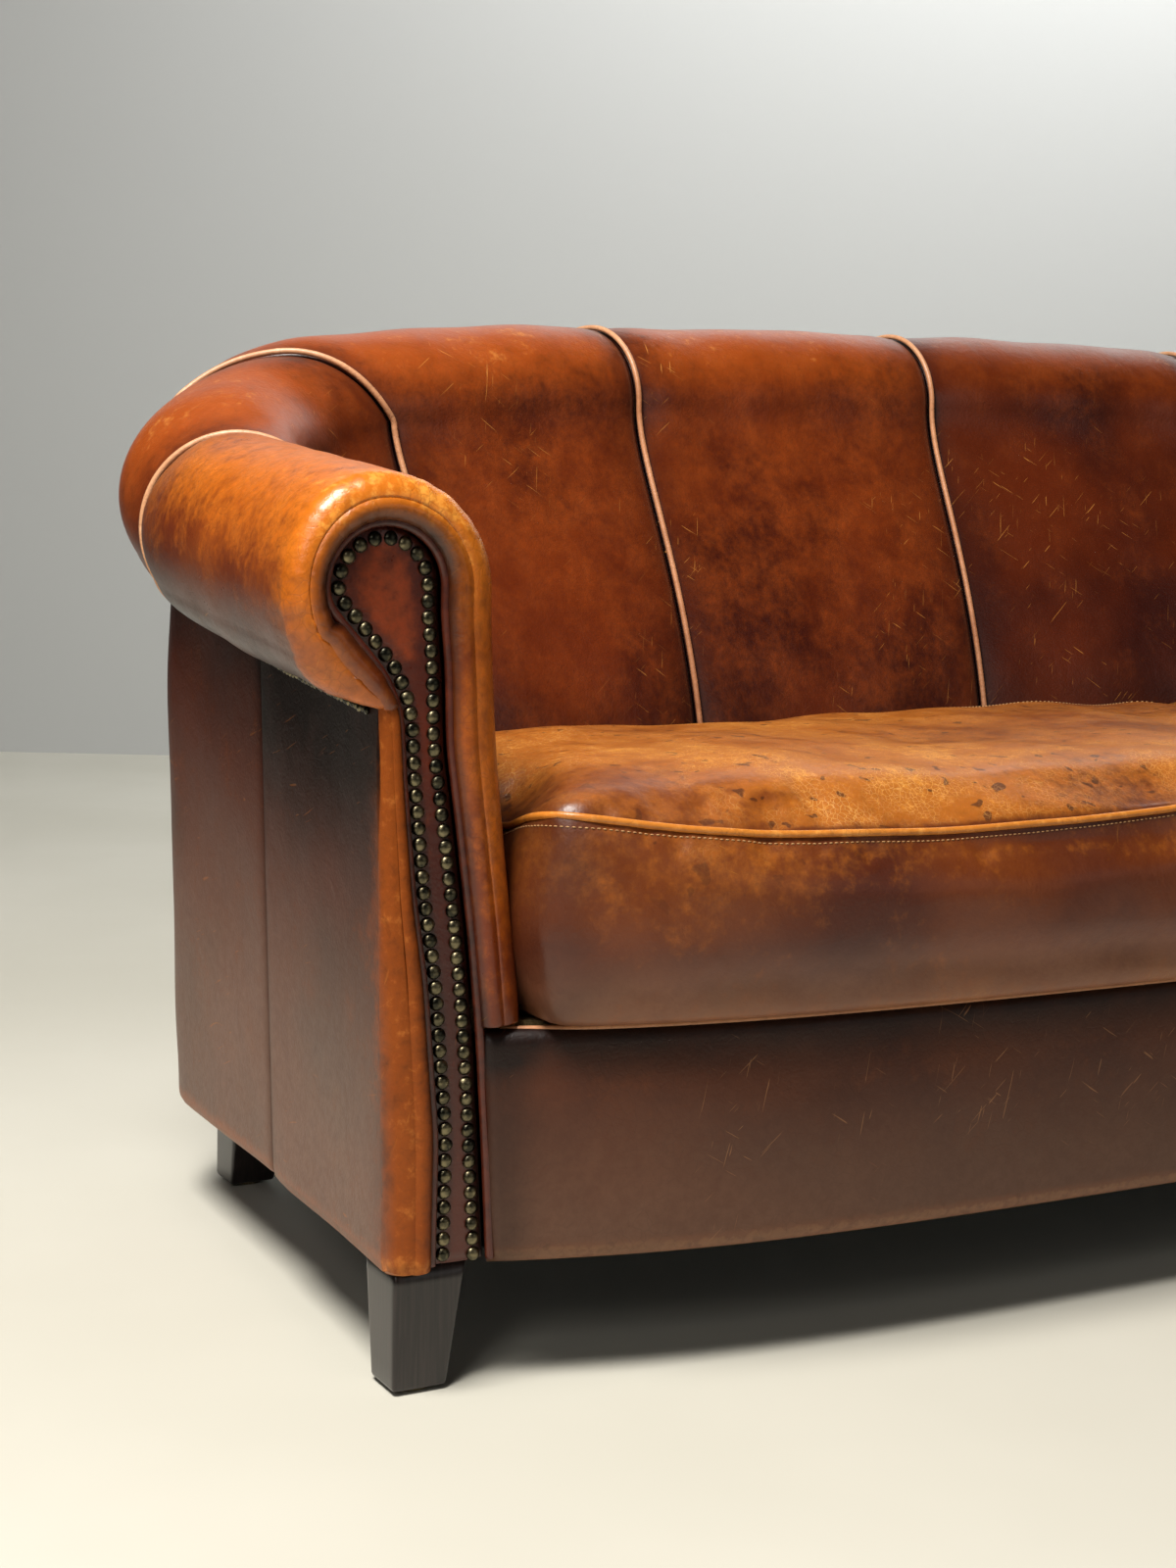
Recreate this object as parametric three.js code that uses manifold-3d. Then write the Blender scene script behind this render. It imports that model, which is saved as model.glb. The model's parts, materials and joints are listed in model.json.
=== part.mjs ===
// Worn leather tub sofa: two loose seat cushions, a channelled back that runs round into rolled arms,
// nailed arm facings, a bow front, four tapered feet, and the timber, springs and cloth inside.
// Millimetres. +X is to the sitter's left, -Y is the front, +Z is up, and the floor is Z = 0.
import * as THREE from 'three'
import { mergeVertices } from 'three/addons/utils/BufferGeometryUtils.js'
import Module from 'manifold-3d'

const wasm = await Module()
wasm.setup()

// Driving dimensions.
const gap = 0.4                      // clearance between pieces that touch
const baseHeight = 94                // underside of the upholstery above the floor
const deckTop = 263.5                // top of the sprung deck, under the cushions
const padFoot = 266                  // bottom edge of the back and arm padding
const cushionTop = 432               // crown of a seat cushion
const cushionEdge = 404              // height of a cushion's upper seam

const backMiddleY = 331              // crest of the back on the centre line
const backRadius = 3450              // the back's curve in plan
const cornerStart = 15.2             // degrees turned where the back becomes the corner
const cornerRadius = 190
const cornerEnd = 86.3               // degrees turned where the corner becomes the arm
const facingY = -318                 // front plane of the arms
const rollHalfHeight = 76            // crest of the roll above its own centre
const rollDepth = 150                // crest down to the underside of the roll
const padThickness = 32              // leather, wadding and foam

const apronFront = -385              // outside of the apron across the middle
const apronSetback = 17              // how far the apron has curved back at bowHalfWidth
const bowHalfWidth = 810
const bowPower = 6.6
const apronHalfWidth = 973
const apronTop = 258
const railBottom = 100               // timber of the base
const railTop = 236

const pipingRadius = 2.4
const cushionHalfGap = 3

// Stations of the tub, by distance along the crest from the middle of the back. For each: height of the
// crest, and reach of the roll to the front and to the rear of it.
const stations = [
  { s: 0, crest: 813, front: 78, rear: 88 },
  { s: 588, crest: 799, front: 78, rear: 97 },
  { s: 915, crest: 770, front: 80, rear: 127 },
  { s: 1020, crest: 738, front: 82, rear: 92 },
  { s: 1095, crest: 711, front: 80, rear: 90 },
  { s: 1180, crest: 680, front: 76, rear: 77 },
  { s: 1509, crest: 647, front: 80, rear: 66 },
]
const backSeatDepth = 197                   // inner face at the seat, in front of the back's crest
const armSeatDepth = 106                    // and inside an arm's crest
const innerCornerStart = 860                // where the inner face begins to turn from back to arm
const innerCornerEnd = 1250
const coverHalfWidth = 1067                 // outer cover at the arm front, under the roll
const coverTaper = 0.045                    // how fast the two sides close towards the back
const coverBackY = 383
const coverBackCurve = 0.0001               // the outer back's bow in plan
const coverCorner = 100
const coverLean = 13                        // how far the cover comes in by the time it reaches its foot
const seams = [197, 588, 1020, 1180]        // channel seams, the same on both sides
const crestLength = 1509                    // from the middle of the back to an arm's front
// Every sweep has its sections at the same stations: coarse along the back and arms, close in the corners.
const sectionSpacing = [[0, 66], [197, 78], [588, 66], [850, 43], [1020, 27], [1180, 35], [1250, 65]]

// Materials.
function material(color, roughness, metalness = 0) {
  return new THREE.MeshStandardMaterial({ color, roughness, metalness })
}
const leather = material('#6b2f18', 0.42)
const cushionLeather = material('#9a5a26', 0.48)
const pipingLeather = material('#c98f5e', 0.5)
const weltLeather = material('#3d1810', 0.5)
const nailBrass = material('#5b4a33', 0.35, 1)
const darkWood = material('#211a19', 0.45)
const frameWood = material('#b58a58', 0.75)
const springSteel = material('#6f7072', 0.4, 1)
const jute = material('#9b835c', 0.95)
const blackCloth = material('#17171a', 0.95)
const felt = material('#8d8168', 0.95)

// Small helpers.
const radians = degrees => degrees * Math.PI / 180
const mix = (a, b, t) => a + (b - a) * t

// Smooth value of one column of the stations, by cubic pieces whose slopes never overshoot.
function along(column, s) {
  const x = stations.map(row => row.s)
  const y = stations.map(row => row[column])
  const last = x.length - 1
  const at = Math.min(Math.max(s, x[0]), x[last])
  const chord = x.slice(1).map((_, i) => (y[i + 1] - y[i]) / (x[i + 1] - x[i]))
  const slope = x.map((_, i) => {
    if (i === 0) return 0
    if (i === last) return chord[last - 1]
    const before = chord[i - 1]
    const after = chord[i]
    return before * after <= 0 ? 0 : 2 * before * after / (before + after)
  })
  const i = Math.min(x.findIndex((_, k) => at <= x[k + 1]), last - 1)
  const step = x[i + 1] - x[i]
  const t = (at - x[i]) / step
  const h = [2 * t ** 3 - 3 * t ** 2 + 1, t ** 3 - 2 * t ** 2 + t, 3 * t ** 2 - 2 * t ** 3, t ** 3 - t ** 2]
  return h[0] * y[i] + h[1] * step * slope[i] + h[2] * y[i + 1] + h[3] * step * slope[i + 1]
}

// Point of the crest in plan, at distance s from the middle of the back, and its outward normal.
function crestPoint(s) {
  const startAngle = radians(cornerStart)
  const endAngle = radians(cornerEnd)
  const backLength = backRadius * startAngle
  const cornerLength = cornerRadius * (endAngle - startAngle)
  const cx = (backRadius - cornerRadius) * Math.sin(startAngle)
  const cy = backMiddleY - backRadius + (backRadius - cornerRadius) * Math.cos(startAngle)
  let angle = s / backRadius
  let x = backRadius * Math.sin(angle)
  let y = backMiddleY - backRadius * (1 - Math.cos(angle))
  if (s > backLength) {
    angle = Math.min(startAngle + (s - backLength) / cornerRadius, endAngle)
    x = cx + cornerRadius * Math.sin(angle)
    y = cy + cornerRadius * Math.cos(angle)
  }
  const straight = Math.max(0, s - backLength - cornerLength)
  return {
    x: x + straight * Math.cos(angle),
    y: y - straight * Math.sin(angle),
    nx: Math.sin(angle),
    ny: Math.cos(angle),
  }
}

// Where the inner face meets the seat, in plan: set in from the crest along the back and along the arm,
// and a rounded corner between.
function seatPoint(s) {
  const onBack = t => {
    const p = crestPoint(t)
    return [p.x - p.nx * backSeatDepth, p.y - p.ny * backSeatDepth]
  }
  const onArm = t => [crestPoint(t).x - armSeatDepth, crestPoint(t).y]
  if (s <= innerCornerStart) return onBack(s)
  if (s >= innerCornerEnd) return onArm(s)
  const a = onBack(innerCornerStart)
  const b = onArm(innerCornerEnd)
  const slope = crestPoint(innerCornerStart)
  const c = [b[0], a[1] - (b[0] - a[0]) * slope.nx / slope.ny]
  const t = (s - innerCornerStart) / (innerCornerEnd - innerCornerStart)
  return [0, 1].map(i => (1 - t) ** 2 * a[i] + 2 * t * (1 - t) * c[i] + t * t * b[i])
}

// The upright plane of station s: its crest point, its outward direction and the depth of the seat point.
const planes = new Map()
function planeAt(s) {
  if (planes.has(s)) return planes.get(s)
  const crest = crestPoint(s)
  const [x, y] = seatPoint(s)
  const depth = Math.hypot(crest.x - x, crest.y - y)
  const plane = { x: crest.x, y: crest.y, dx: (crest.x - x) / depth, dy: (crest.y - y) / depth, depth }
  plane.cover = coverReach(plane)
  planes.set(s, plane)
  return plane
}

// Distance outside the outer cover's plan outline, negative inside it.
function outsideCover(x, y) {
  const dx = x - (coverHalfWidth - coverTaper * (y - facingY) - coverCorner)
  const dy = y - (coverBackY - coverBackCurve * x * x - coverCorner)
  return (dx > 0 && dy > 0 ? Math.hypot(dx, dy) : Math.max(dx, dy)) - coverCorner
}
function coverReach(plane) {
  let low = -30
  let high = 200
  for (let i = 0; i < 40; i++) {
    const middle = (low + high) / 2
    if (outsideCover(plane.x + plane.dx * middle, plane.y + plane.dy * middle) < 0) low = middle
    else high = middle
  }
  return low
}

// A point at station s, u outward from the crest and z above the floor. A negative s is on the right side.
function place(s, u, z) {
  const side = Math.sign(s) || 1
  const p = planeAt(Math.abs(s))
  return [side * (p.x + p.dx * u), p.y + p.dy * u, z]
}

// Evenly spaced distances from a to b, no further apart than step.
function spread(a, b, step) {
  const n = Math.max(1, Math.ceil(Math.abs(b - a) / step))
  return Array.from({ length: n + 1 }, (_, i) => mix(a, b, i / n))
}

const sectionStations = sectionSpacing.flatMap(([from, step], i) => {
  const to = sectionSpacing[i + 1]?.[0] ?? crestLength
  return spread(from, to, step).slice(0, -1)
})

// Closed body from rings of points: each ring has the same number of points, and the first and last are
// capped with the given triangles, which number a ring's points and turn the same way as the ring.
function loft(rings, cap) {
  const count = rings[0].length
  const index = []
  for (let r = 0; r < rings.length - 1; r++) {
    for (let i = 0; i < count; i++) {
      const j = (i + 1) % count
      const a = r * count + i
      const b = r * count + j
      index.push(a, a + count, b, b, a + count, b + count)
    }
  }
  const shift = (rings.length - 1) * count
  for (const [a, b, c] of cap) {
    index.push(a, b, c)
    index.push(shift + a, shift + c, shift + b)
  }
  return solidFrom(new Float32Array(rings.flat(2)), index)
}

// Triangles that fill an outline, given as flat points.
function flatCap(points) {
  const outline = points.map(([x, y]) => new THREE.Vector2(x, y))
  const winding = Math.sign(THREE.ShapeUtils.area(outline))
  return THREE.ShapeUtils.triangulateShape(outline, []).map(corners => {
    const same = Math.sign(THREE.ShapeUtils.area(corners.map(i => outline[i]))) === winding
    return same ? corners : [...corners].reverse()
  })
}

// Indexed geometry whose faces point out: the triangles are turned over if its volume comes out negative.
function solidFrom(positions, index) {
  let volume = 0
  const v = i => new THREE.Vector3(positions[3 * i], positions[3 * i + 1], positions[3 * i + 2])
  for (let i = 0; i < index.length; i += 3) {
    volume += v(index[i]).dot(v(index[i + 1]).cross(v(index[i + 2])))
  }
  if (volume < 0) {
    for (let i = 0; i < index.length; i += 3) [index[i], index[i + 1]] = [index[i + 1], index[i]]
  }
  const geometry = new THREE.BufferGeometry()
  geometry.setAttribute('position', new THREE.BufferAttribute(positions, 3))
  geometry.setIndex(index)
  return geometry
}

// Manifold solid from any closed three.js geometry, and back.
function toSolid(geometry) {
  const plain = geometry.clone()
  plain.deleteAttribute('normal')
  plain.deleteAttribute('uv')
  const merged = mergeVertices(plain, 1e-3)
  return new wasm.Manifold(new wasm.Mesh({
    numProp: 3,
    vertProperties: new Float32Array(merged.attributes.position.array),
    triVerts: new Uint32Array(merged.index.array),
  }))
}
function toGeometry(solid) {
  const mesh = solid.getMesh()
  const geometry = new THREE.BufferGeometry()
  geometry.setAttribute('position', new THREE.BufferAttribute(new Float32Array(mesh.vertProperties), 3))
  geometry.setIndex(Array.from(mesh.triVerts))
  return geometry
}
function union(geometries) {
  const joined = geometries.map(toSolid).reduce((whole, next) => whole.add(next))
  return toGeometry(joined)
}
function cut(geometry, cutters) {
  const rest = cutters.map(toSolid).reduce((whole, next) => whole.subtract(next), toSolid(geometry))
  return toGeometry(rest)
}

// Box between two corners.
function block(low, high) {
  const size = high.map((value, i) => value - low[i])
  const geometry = new THREE.BoxGeometry(...size)
  geometry.translate(...high.map((value, i) => (value + low[i]) / 2))
  return geometry
}

// Upright prism: a plan outline between two heights.
function prism(outline, bottom, top) {
  const shape = new THREE.Shape(outline.map(([x, y]) => new THREE.Vector2(x, y)))
  const geometry = new THREE.ExtrudeGeometry(shape, { depth: top - bottom, bevelEnabled: false })
  geometry.translate(0, 0, bottom)
  return geometry
}

// Cord of six-sided section along a list of points.
function cord(points, radius, steps) {
  const section = new THREE.Shape()
  section.absarc(0, 0, radius, 0, Math.PI * 2)
  const path = new THREE.CatmullRomCurve3(points.map(p => new THREE.Vector3(...p)), false, 'centripetal')
  return new THREE.ExtrudeGeometry(section, { steps, extrudePath: path, curveSegments: 3 })
}

const group = new THREE.Group()
function add(name, geometry, finish) {
  const mesh = new THREE.Mesh(geometry, finish)
  mesh.name = name
  group.add(mesh)
}
const sides = [['left', 1], ['right', -1]]       // as the sitter has them: left is +X

// The tub: padded channels, their pipings, and the lining and rail behind them.
// Round the corners the channels slant: at the crest a point keeps its own station, and from there down to
// the seat it is drawn back towards the middle of the back, most of all at the corner's first seam.
const slantDepth = 150
const slantTurn = 45                         // degrees round the roll where the slant begins
const slantAtRoll = 0.875                    // share of it reached where the roll meets the inner face
const eased = t => t * t * (3 - 2 * t)
function slantAt(s) {
  if (s <= seams[1] || s >= seams[3]) return 0
  const rising = (s - seams[1]) / (seams[2] - seams[1])
  const falling = (seams[3] - s) / (seams[3] - seams[2])
  const share = s < seams[2] ? rising : falling
  return slantDepth * eased(share)
}

// Outline of the leather at station s, from the seat up over the roll to its underside: for each point, how
// far out it is, its height, and the station that it stands at once slanted.
const facePoints = [0, 0.22, 0.42, 0.62, 0.82]
const rollAngles = [180, 155, 130, 105, 80, 55, 30, 5, -20]
function leatherLine(s, inset = 0) {
  const onFace = facePoints.map(t => {
    const at = s - slantAt(s) * mix(1, slantAtRoll, t)
    const centre = along('crest', at) - rollHalfHeight
    const front = along('front', at) - inset
    const seat = planeAt(at).depth - inset
    // the back stays deep at the seat and then leans; an arm goes almost straight up
    const lean = (planeAt(at).depth - armSeatDepth) / (backSeatDepth - armSeatDepth)
    const face = new THREE.CubicBezierCurve(
      new THREE.Vector2(-seat, padFoot),
      new THREE.Vector2(-seat, mix(padFoot, centre, mix(0.1, 0.55, lean))),
      new THREE.Vector2(-front, mix(padFoot, centre, mix(0.6, 0.85, lean))),
      new THREE.Vector2(-front, centre),
    )
    return [...face.getPoint(t).toArray(), at]
  })
  const onRoll = rollAngles.map(angle => {
    const at = s - slantAt(s) * slantAtRoll * Math.max(0, (angle - slantTurn) / (180 - slantTurn))
    const reach = along(angle > 90 ? 'front' : 'rear', at) - inset
    const height = rollHalfHeight - inset
    const centre = along('crest', at) - rollHalfHeight
    return [reach * Math.cos(radians(angle)), centre + height * Math.sin(radians(angle)), at]
  })
  return [...onFace, ...onRoll]
}

// Closed section of one channel's padding: the leather line, and the same line a pad's thickness inside.
const underLip = 6                      // the leather passes the cover's face by this much under the roll
const underTuck = 14                    // and is tucked in behind it by this much
function padSection(s) {
  const outer = leatherLine(s)
  const inner = leatherLine(s, padThickness).slice(0, -1)
  const crest = along('crest', s)
  const under = [planeAt(s).cover + underLip, crest - rollDepth]
  const tuck = [planeAt(s).cover - underTuck, crest - rollDepth + 2]
  return [...outer, under, tuck, ...inner.reverse()]
}

// The end of a pad: each point of its leather is joined to the point behind it, so that the ends of two
// neighbours stay side by side where they slant.
function padCap() {
  const paired = facePoints.length + rollAngles.length - 1
  const under = paired + 1
  const last = 2 * paired + 2
  const strip = Array.from({ length: paired - 1 }, (_, k) => [
    [k, k + 1, last - k - 1],
    [k, last - k - 1, last - k],
  ])
  const lip = [0, 1, 2].map(k => [paired - 1, under - 1 + k, under + k])
  return [...strip.flat(), ...lip]
}

// Carries a section along the tub from one station to another.
function sweep(section, from, to, cap = flatCap(section(Math.abs(from)))) {
  const both = [...sectionStations.map(s => -s).reverse(), ...sectionStations.slice(1)]
  const between = both.filter(s => s > from + 3 && s < to - 3)
  const rings = [from, ...between, to].map(s => (
    section(Math.abs(s)).map(([u, z, at = Math.abs(s)]) => place(Math.sign(s) * at, u, z))
  ))
  return loft(rings, cap)
}

// Half the groove that a piping lies in. The corner's planes close up towards the seat,
// so it is wider there.
const cornerSlot = 2.7
function slotAt(s) {
  return (pipingRadius + gap) * (Math.abs(s) > innerCornerStart ? cornerSlot : 1)
}
const channels = [
  ['back_middle', -seams[0], seams[0]],
  ['left_back_inner', seams[0], seams[1]],
  ['left_back_outer', seams[1], seams[2]],
  ['left_corner', seams[2], seams[3]],
  ['left_arm', seams[3], crestLength - gap],
  ['right_back_inner', -seams[1], -seams[0]],
  ['right_back_outer', -seams[2], -seams[1]],
  ['right_corner', -seams[3], -seams[2]],
  ['right_arm', gap - crestLength, -seams[3]],
]
for (const [name, from, to] of channels) {
  const first = Math.abs(from) > crestLength - 1 ? from : from + slotAt(from)
  const last = Math.abs(to) > crestLength - 1 ? to : to - slotAt(to)
  add(`${name}_pad`, sweep(padSection, first, last, padCap()), leather)
}

// Pipings sewn between the channels, half sunk in the leather.
const seamNames = ['back_inner', 'back_outer', 'corner', 'arm']
for (const [label, side] of sides) {
  seams.forEach((s, i) => {
    const line = leatherLine(s, 0.5).map(([u, z, at]) => place(side * at, u, z))
    add(`${label}_${seamNames[i]}_piping`, cord(line, pipingRadius, 24), pipingLeather)
  })
}

// Jute and canvas lining stretched on the frame behind the padding.
const liningInset = 5
const liningThickness = 4
function liningSection(s) {
  const face = leatherLine(s, padThickness + liningInset).slice(0, 6)
  const rear = leatherLine(s, padThickness + liningInset + liningThickness).slice(0, 6)
  return [...face, ...rear.reverse()]
}
const liningEnd = crestLength - 34
add('tub_lining', sweep(liningSection, -liningEnd, liningEnd), jute)

// Bent top rail inside the roll.
const railInset = 14
const railBelow = 12                    // its faces, below and above the roll's centre
const railAbove = 20
function railSection(s) {
  const centre = along('crest', s) - rollHalfHeight
  const front = along('front', s) - padThickness - railInset
  const rear = along('rear', s) - padThickness - railInset
  const low = centre - railBelow
  const high = centre + railAbove
  return [[-front, low], [-front, high], [rear, high], [rear, low]]
}
add('top_rail', sweep(railSection, -liningEnd, liningEnd), frameWood)

// Outer covers: plain leather below the roll.
// The cover leans in a little towards the floor.
const coverThickness = 4
const coverTopGap = 2.5                      // below the leather that comes under the roll
function coverSection(s) {
  const reach = planeAt(s).cover
  const top = along('crest', s) - rollDepth - coverTopGap
  const foot = reach - coverLean
  const knee = [mix(reach, foot, 0.45), mix(top, baseHeight, 0.6)]
  const outer = [[reach, top], knee, [foot, baseHeight]]
  return [...outer, ...outer.map(([u, z]) => [u - coverThickness, z]).reverse()]
}
const coverSeams = [520, 1258]               // at the back, and the upright seam on the arm's outside
const covers = [
  ['outer_back_middle', -coverSeams[0], coverSeams[0]],
  ['left_outer_back', coverSeams[0], coverSeams[1]],
  ['left_outer_arm', coverSeams[1], crestLength - gap],
  ['right_outer_back', -coverSeams[1], -coverSeams[0]],
  ['right_outer_arm', gap - crestLength, -coverSeams[1]],
]
for (const [name, from, to] of covers) {
  const first = Math.abs(from) > crestLength - 1 ? from : from + gap
  const last = Math.abs(to) > crestLength - 1 ? to : to - gap
  add(name, sweep(coverSection, first, last), leather)
}

// Row of small dark nails and gimp that closes the underside of the arm's roll.
const trimProud = 5
const trimHeight = 8.5
function trimSection(s) {
  const near = planeAt(s).cover + 0.5
  const far = planeAt(s).cover + trimProud
  const top = along('crest', s) - rollDepth - 1
  return [[near, top - trimHeight], [far, top - trimHeight], [far, top], [near, top]]
}
for (const [label, side] of sides) {
  const ends = [side * (seams[3] + 30), side * (crestLength - 6)].sort((a, b) => a - b)
  add(`${label}_roll_nails`, sweep(trimSection, ends[0], ends[1]), nailBrass)
}

// Arm fronts: padded rim, nailed facing, welt.
// Keyhole outline of the facing on the right arm, from its foot up the outside, round the head and down
// the inside. The head is an arc; the stem leans outward as it rises.
const headCentre = [-1066, 574]
const headRadius = 48
const stemOutside = [
  [-1030, 96], [-1029, 190], [-1039, 302], [-1048, 359],
  [-1056, 440], [-1059, 488], [-1069, 512], [-1090, 536],
]
const stemInside = [
  [-1019, 560], [-1015, 520], [-1013, 464], [-1005, 408],
  [-995, 333], [-988, 265], [-983, 197], [-977, 96],
]
const weltInset = 4                     // welt, facing and nails, inside the keyhole outline
const facingInset = 8.6
const nailInset = 14.5
const weltRadius = 3.2
const nailStripRadius = 3.9
function keyhole(inset, side, drop = 0) {
  const head = spread(196, 4, 24).map(angle => [
    headCentre[0] + headRadius * Math.cos(radians(angle)),
    headCentre[1] + headRadius * Math.sin(radians(angle)),
  ])
  const line = insetLine([...stemOutside, ...head, ...stemInside], inset)
  line[0][1] -= drop
  line.at(-1)[1] -= drop
  return line.map(([x, z]) => [-side * x, z])
}
// The same line moved inwards, to its right as it is walked.
function insetLine(line, distance) {
  return line.map(([x, z], i) => {
    const [ax, az] = line[Math.max(i - 1, 0)]
    const [bx, bz] = line[Math.min(i + 1, line.length - 1)]
    const length = Math.hypot(bx - ax, bz - az)
    return [x + (bz - az) / length * distance, z - (bx - ax) / length * distance]
  })
}
// Upright plate in the plane of the arm front, between two depths.
function plate(outline, near, far) {
  const shape = new THREE.Shape(outline.map(([x, z]) => new THREE.Vector2(x, z)))
  const geometry = new THREE.ExtrudeGeometry(shape, { depth: far - near, bevelEnabled: false })
  geometry.rotateX(Math.PI / 2)
  geometry.translate(0, far, 0)
  return geometry
}

// Outline of the whole arm front, from the outer cover round the roll to the inner pad.
const rimInside = 979
const rimNeck = 493                     // height at which the roll's underside meets the outer cover
function armFrontOutline(side) {
  const roll = leatherLine(crestLength, 2).map(([u, z]) => place(crestLength, u, z))
  const inside = [[rimInside, baseHeight + 1], [rimInside, padFoot]]
  const outside = [[coverHalfWidth - 3, rimNeck], [coverHalfWidth - coverLean - 2, baseHeight + 1]]
  return [...inside, ...roll.map(([x, , z]) => [x, z]), ...outside].map(([x, z]) => [side * x, z])
}

// Depths in front of the arms' own front plane.
const rimDepth = 14
const recessDepth = 4
const weltDepth = 9
const facingNear = 7
const facingFar = 4.4
const nailDepth = 11.6

for (const [label, side] of sides) {
  const welt = keyhole(weltInset, side).map(([x, z]) => [x, facingY - weltDepth, z])
  add(`${label}_facing_welt`, cord(welt, weltRadius, 44), weltLeather)
  const panel = keyhole(facingInset, side)
  add(`${label}_facing`, plate(panel, facingY - facingNear, facingY - facingFar), leather)

  // rim: the roll's leather brought round the edge of the arm front
  const rim = plate(armFrontOutline(side), facingY - rimDepth, facingY - gap)
  const recess = plate(keyhole(0, side, 10), facingY - rimDepth - 1, facingY - recessDepth)
  add(`${label}_arm_front_rim`, cut(rim, [recess]), leather)

  // one row of domed nails, touching along the facing's edge, joined by its own strip
  const row = keyhole(nailInset, side).map(([x, z]) => [x, facingY - nailDepth, z])
  add(`${label}_facing_nails`, cord(row, nailStripRadius, 32), nailBrass)
}

// Bow front.
// Plan line of the apron, moved back by depth.
const bowStep = 75
function bowLine(depth, halfWidth) {
  return spread(-halfWidth, halfWidth, bowStep).map(x => [x, bowFront(x) + depth])
}
function bowFront(x) {
  return Math.min(apronFront + apronSetback * Math.abs(x / bowHalfWidth) ** bowPower, facingY)
}
function bowStrip(front, back, halfWidth, bottom, top) {
  return prism([...bowLine(front, halfWidth), ...bowLine(back, halfWidth).reverse()], bottom, top)
}
const apronDepth = 14                   // leather, wadding and canvas
const frontRail = [18, 46]              // near and far faces behind the apron's front
const frontRailHalf = 935
add('apron', bowStrip(0, apronDepth, apronHalfWidth, baseHeight, apronTop), leather)
add('front_rail', bowStrip(...frontRail, frontRailHalf, railBottom, railTop), frameWood)
const apronEdge = bowLine(4, apronHalfWidth).map(([x, y]) => [x, y, apronTop + pipingRadius + gap])
add('apron_piping', cord(apronEdge, pipingRadius, 30), pipingLeather)

// Base frame.
const timber = 27
const coverGap = 21                     // from the outer cover's top edge in to the timber
function baseSection(s) {
  const reach = planeAt(s).cover - coverGap
  return [[reach, railBottom], [reach, railTop], [reach - timber, railTop], [reach - timber, railBottom]]
}
const railCorner = 1010                 // station where the rear rail meets a side rail
add('rear_rail', sweep(baseSection, -railCorner, railCorner), frameWood)
for (const [label, side] of sides) {
  const ends = [side * (railCorner + gap), side * (crestLength - 6)].sort((a, b) => a - b)
  add(`${label}_side_rail`, sweep(baseSection, ends[0], ends[1]), frameWood)
}

// Seat rail under the rear of the cushions, which takes the back ends of the springs.
const seatRailY = [140, 167]
const seatRailHalf = 938
const seatRailBottom = 190
const seatRailLow = [-seatRailHalf, seatRailY[0], seatRailBottom]
add('rear_seat_rail', block(seatRailLow, [seatRailHalf, seatRailY[1], railTop]), frameWood)

// Feet: the outer corners of the front and rear ones in plan, and a foot's width and depth
// at its top and at the floor.
const footOuter = [1051, -322]
const rearFootOuter = [985, 238]
const footTop = [57, 54]
const footBottom = [42, 41]
const glideHeight = 3
const glideRadius = 15

// A foot: its two outer faces upright, its two inner faces tapering in towards the floor.
function foot(x, y, side, depthSign) {
  const ring = (size, z) => [[0, 0], [size[0], 0], [size[0], size[1]], [0, size[1]]]
    .map(([a, b]) => [side * (x - a), y + depthSign * b, z])
  const rings = [ring(footBottom, glideHeight + gap), ring(footTop, baseHeight - gap)]
  return loft(rings, flatCap(rings[0]))
}
const corners = []
for (const [label, side] of sides) {
  corners.push([`front_${label}`, footOuter, side, 1], [`rear_${label}`, rearFootOuter, side, -1])
}
for (const [label, [x, y], side, depthSign] of corners) {
  add(`${label}_foot`, foot(x, y, side, depthSign), darkWood)
  const glide = new THREE.CylinderGeometry(glideRadius, glideRadius, glideHeight, 20).rotateX(Math.PI / 2)
  glide.translate(side * (x - footBottom[0] / 2), y + depthSign * footBottom[1] / 2, glideHeight / 2)
  add(`${label}_glide`, glide, felt)
}

// Sprung seat.
// No-sag springs: flat zigzags of wire from the front rail to the seat rail, tied across by one wire.
const springZ = railTop + 3
const springCount = 7
const springHalf = 840                  // from the centre line to the outermost spring
const springWire = 1.6
const springBend = 24                   // half the width of a zigzag
const springPitch = 34
function zigzag(x) {
  const run = spread(bowFront(x) + 28, seatRailY[0] + 12, springPitch)
  const bends = run.map((y, i) => [x + (i % 2 ? springBend : -springBend), y])
  const near = bends.map(([bx, y]) => [bx - springWire, y])
  const far = bends.map(([bx, y]) => [bx + springWire, y])
  return prism([...near, ...far.reverse()], springZ - springWire, springZ + springWire)
}
const springs = spread(-springHalf, springHalf, 2 * springHalf / (springCount - 1)).map(zigzag)
const tieHalf = springHalf + 28
const tie = block([-tieHalf, -116, springZ - 1.2], [tieHalf, -112.3, springZ + 1.2])
add('seat_springs', union([...springs, tie]), springSteel)

// Plan outline of half the seat, from the middle of the back round to the front edge: the inner face's own
// line moved outward by grow, closed along the bow at the given depth behind the apron.
const seatEnd = 1440                    // last station that the seat follows before the bow
function seatOutline(grow, depth, inner) {
  const rear = spread(0, seatEnd, 72).map(s => {
    const [x, y] = seatPoint(s)
    const p = planeAt(s)
    return [Math.max(x + p.dx * grow, inner), y + p.dy * grow]
  })
  const halfWidth = rear.at(-1)[0]
  const front = bowLine(depth, halfWidth).filter(([x]) => x > inner).reverse()
  return [...rear, ...front, [inner, apronFront + depth]]
}
const deckThickness = 12
const deckHalf = seatOutline(18, 17, 0)
const deckMirror = deckHalf.slice(1, -1).map(([x, y]) => [-x, y]).reverse()
add('seat_deck', prism([...deckHalf.slice(0, -1), ...deckMirror], deckTop - deckThickness, deckTop), jute)

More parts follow.
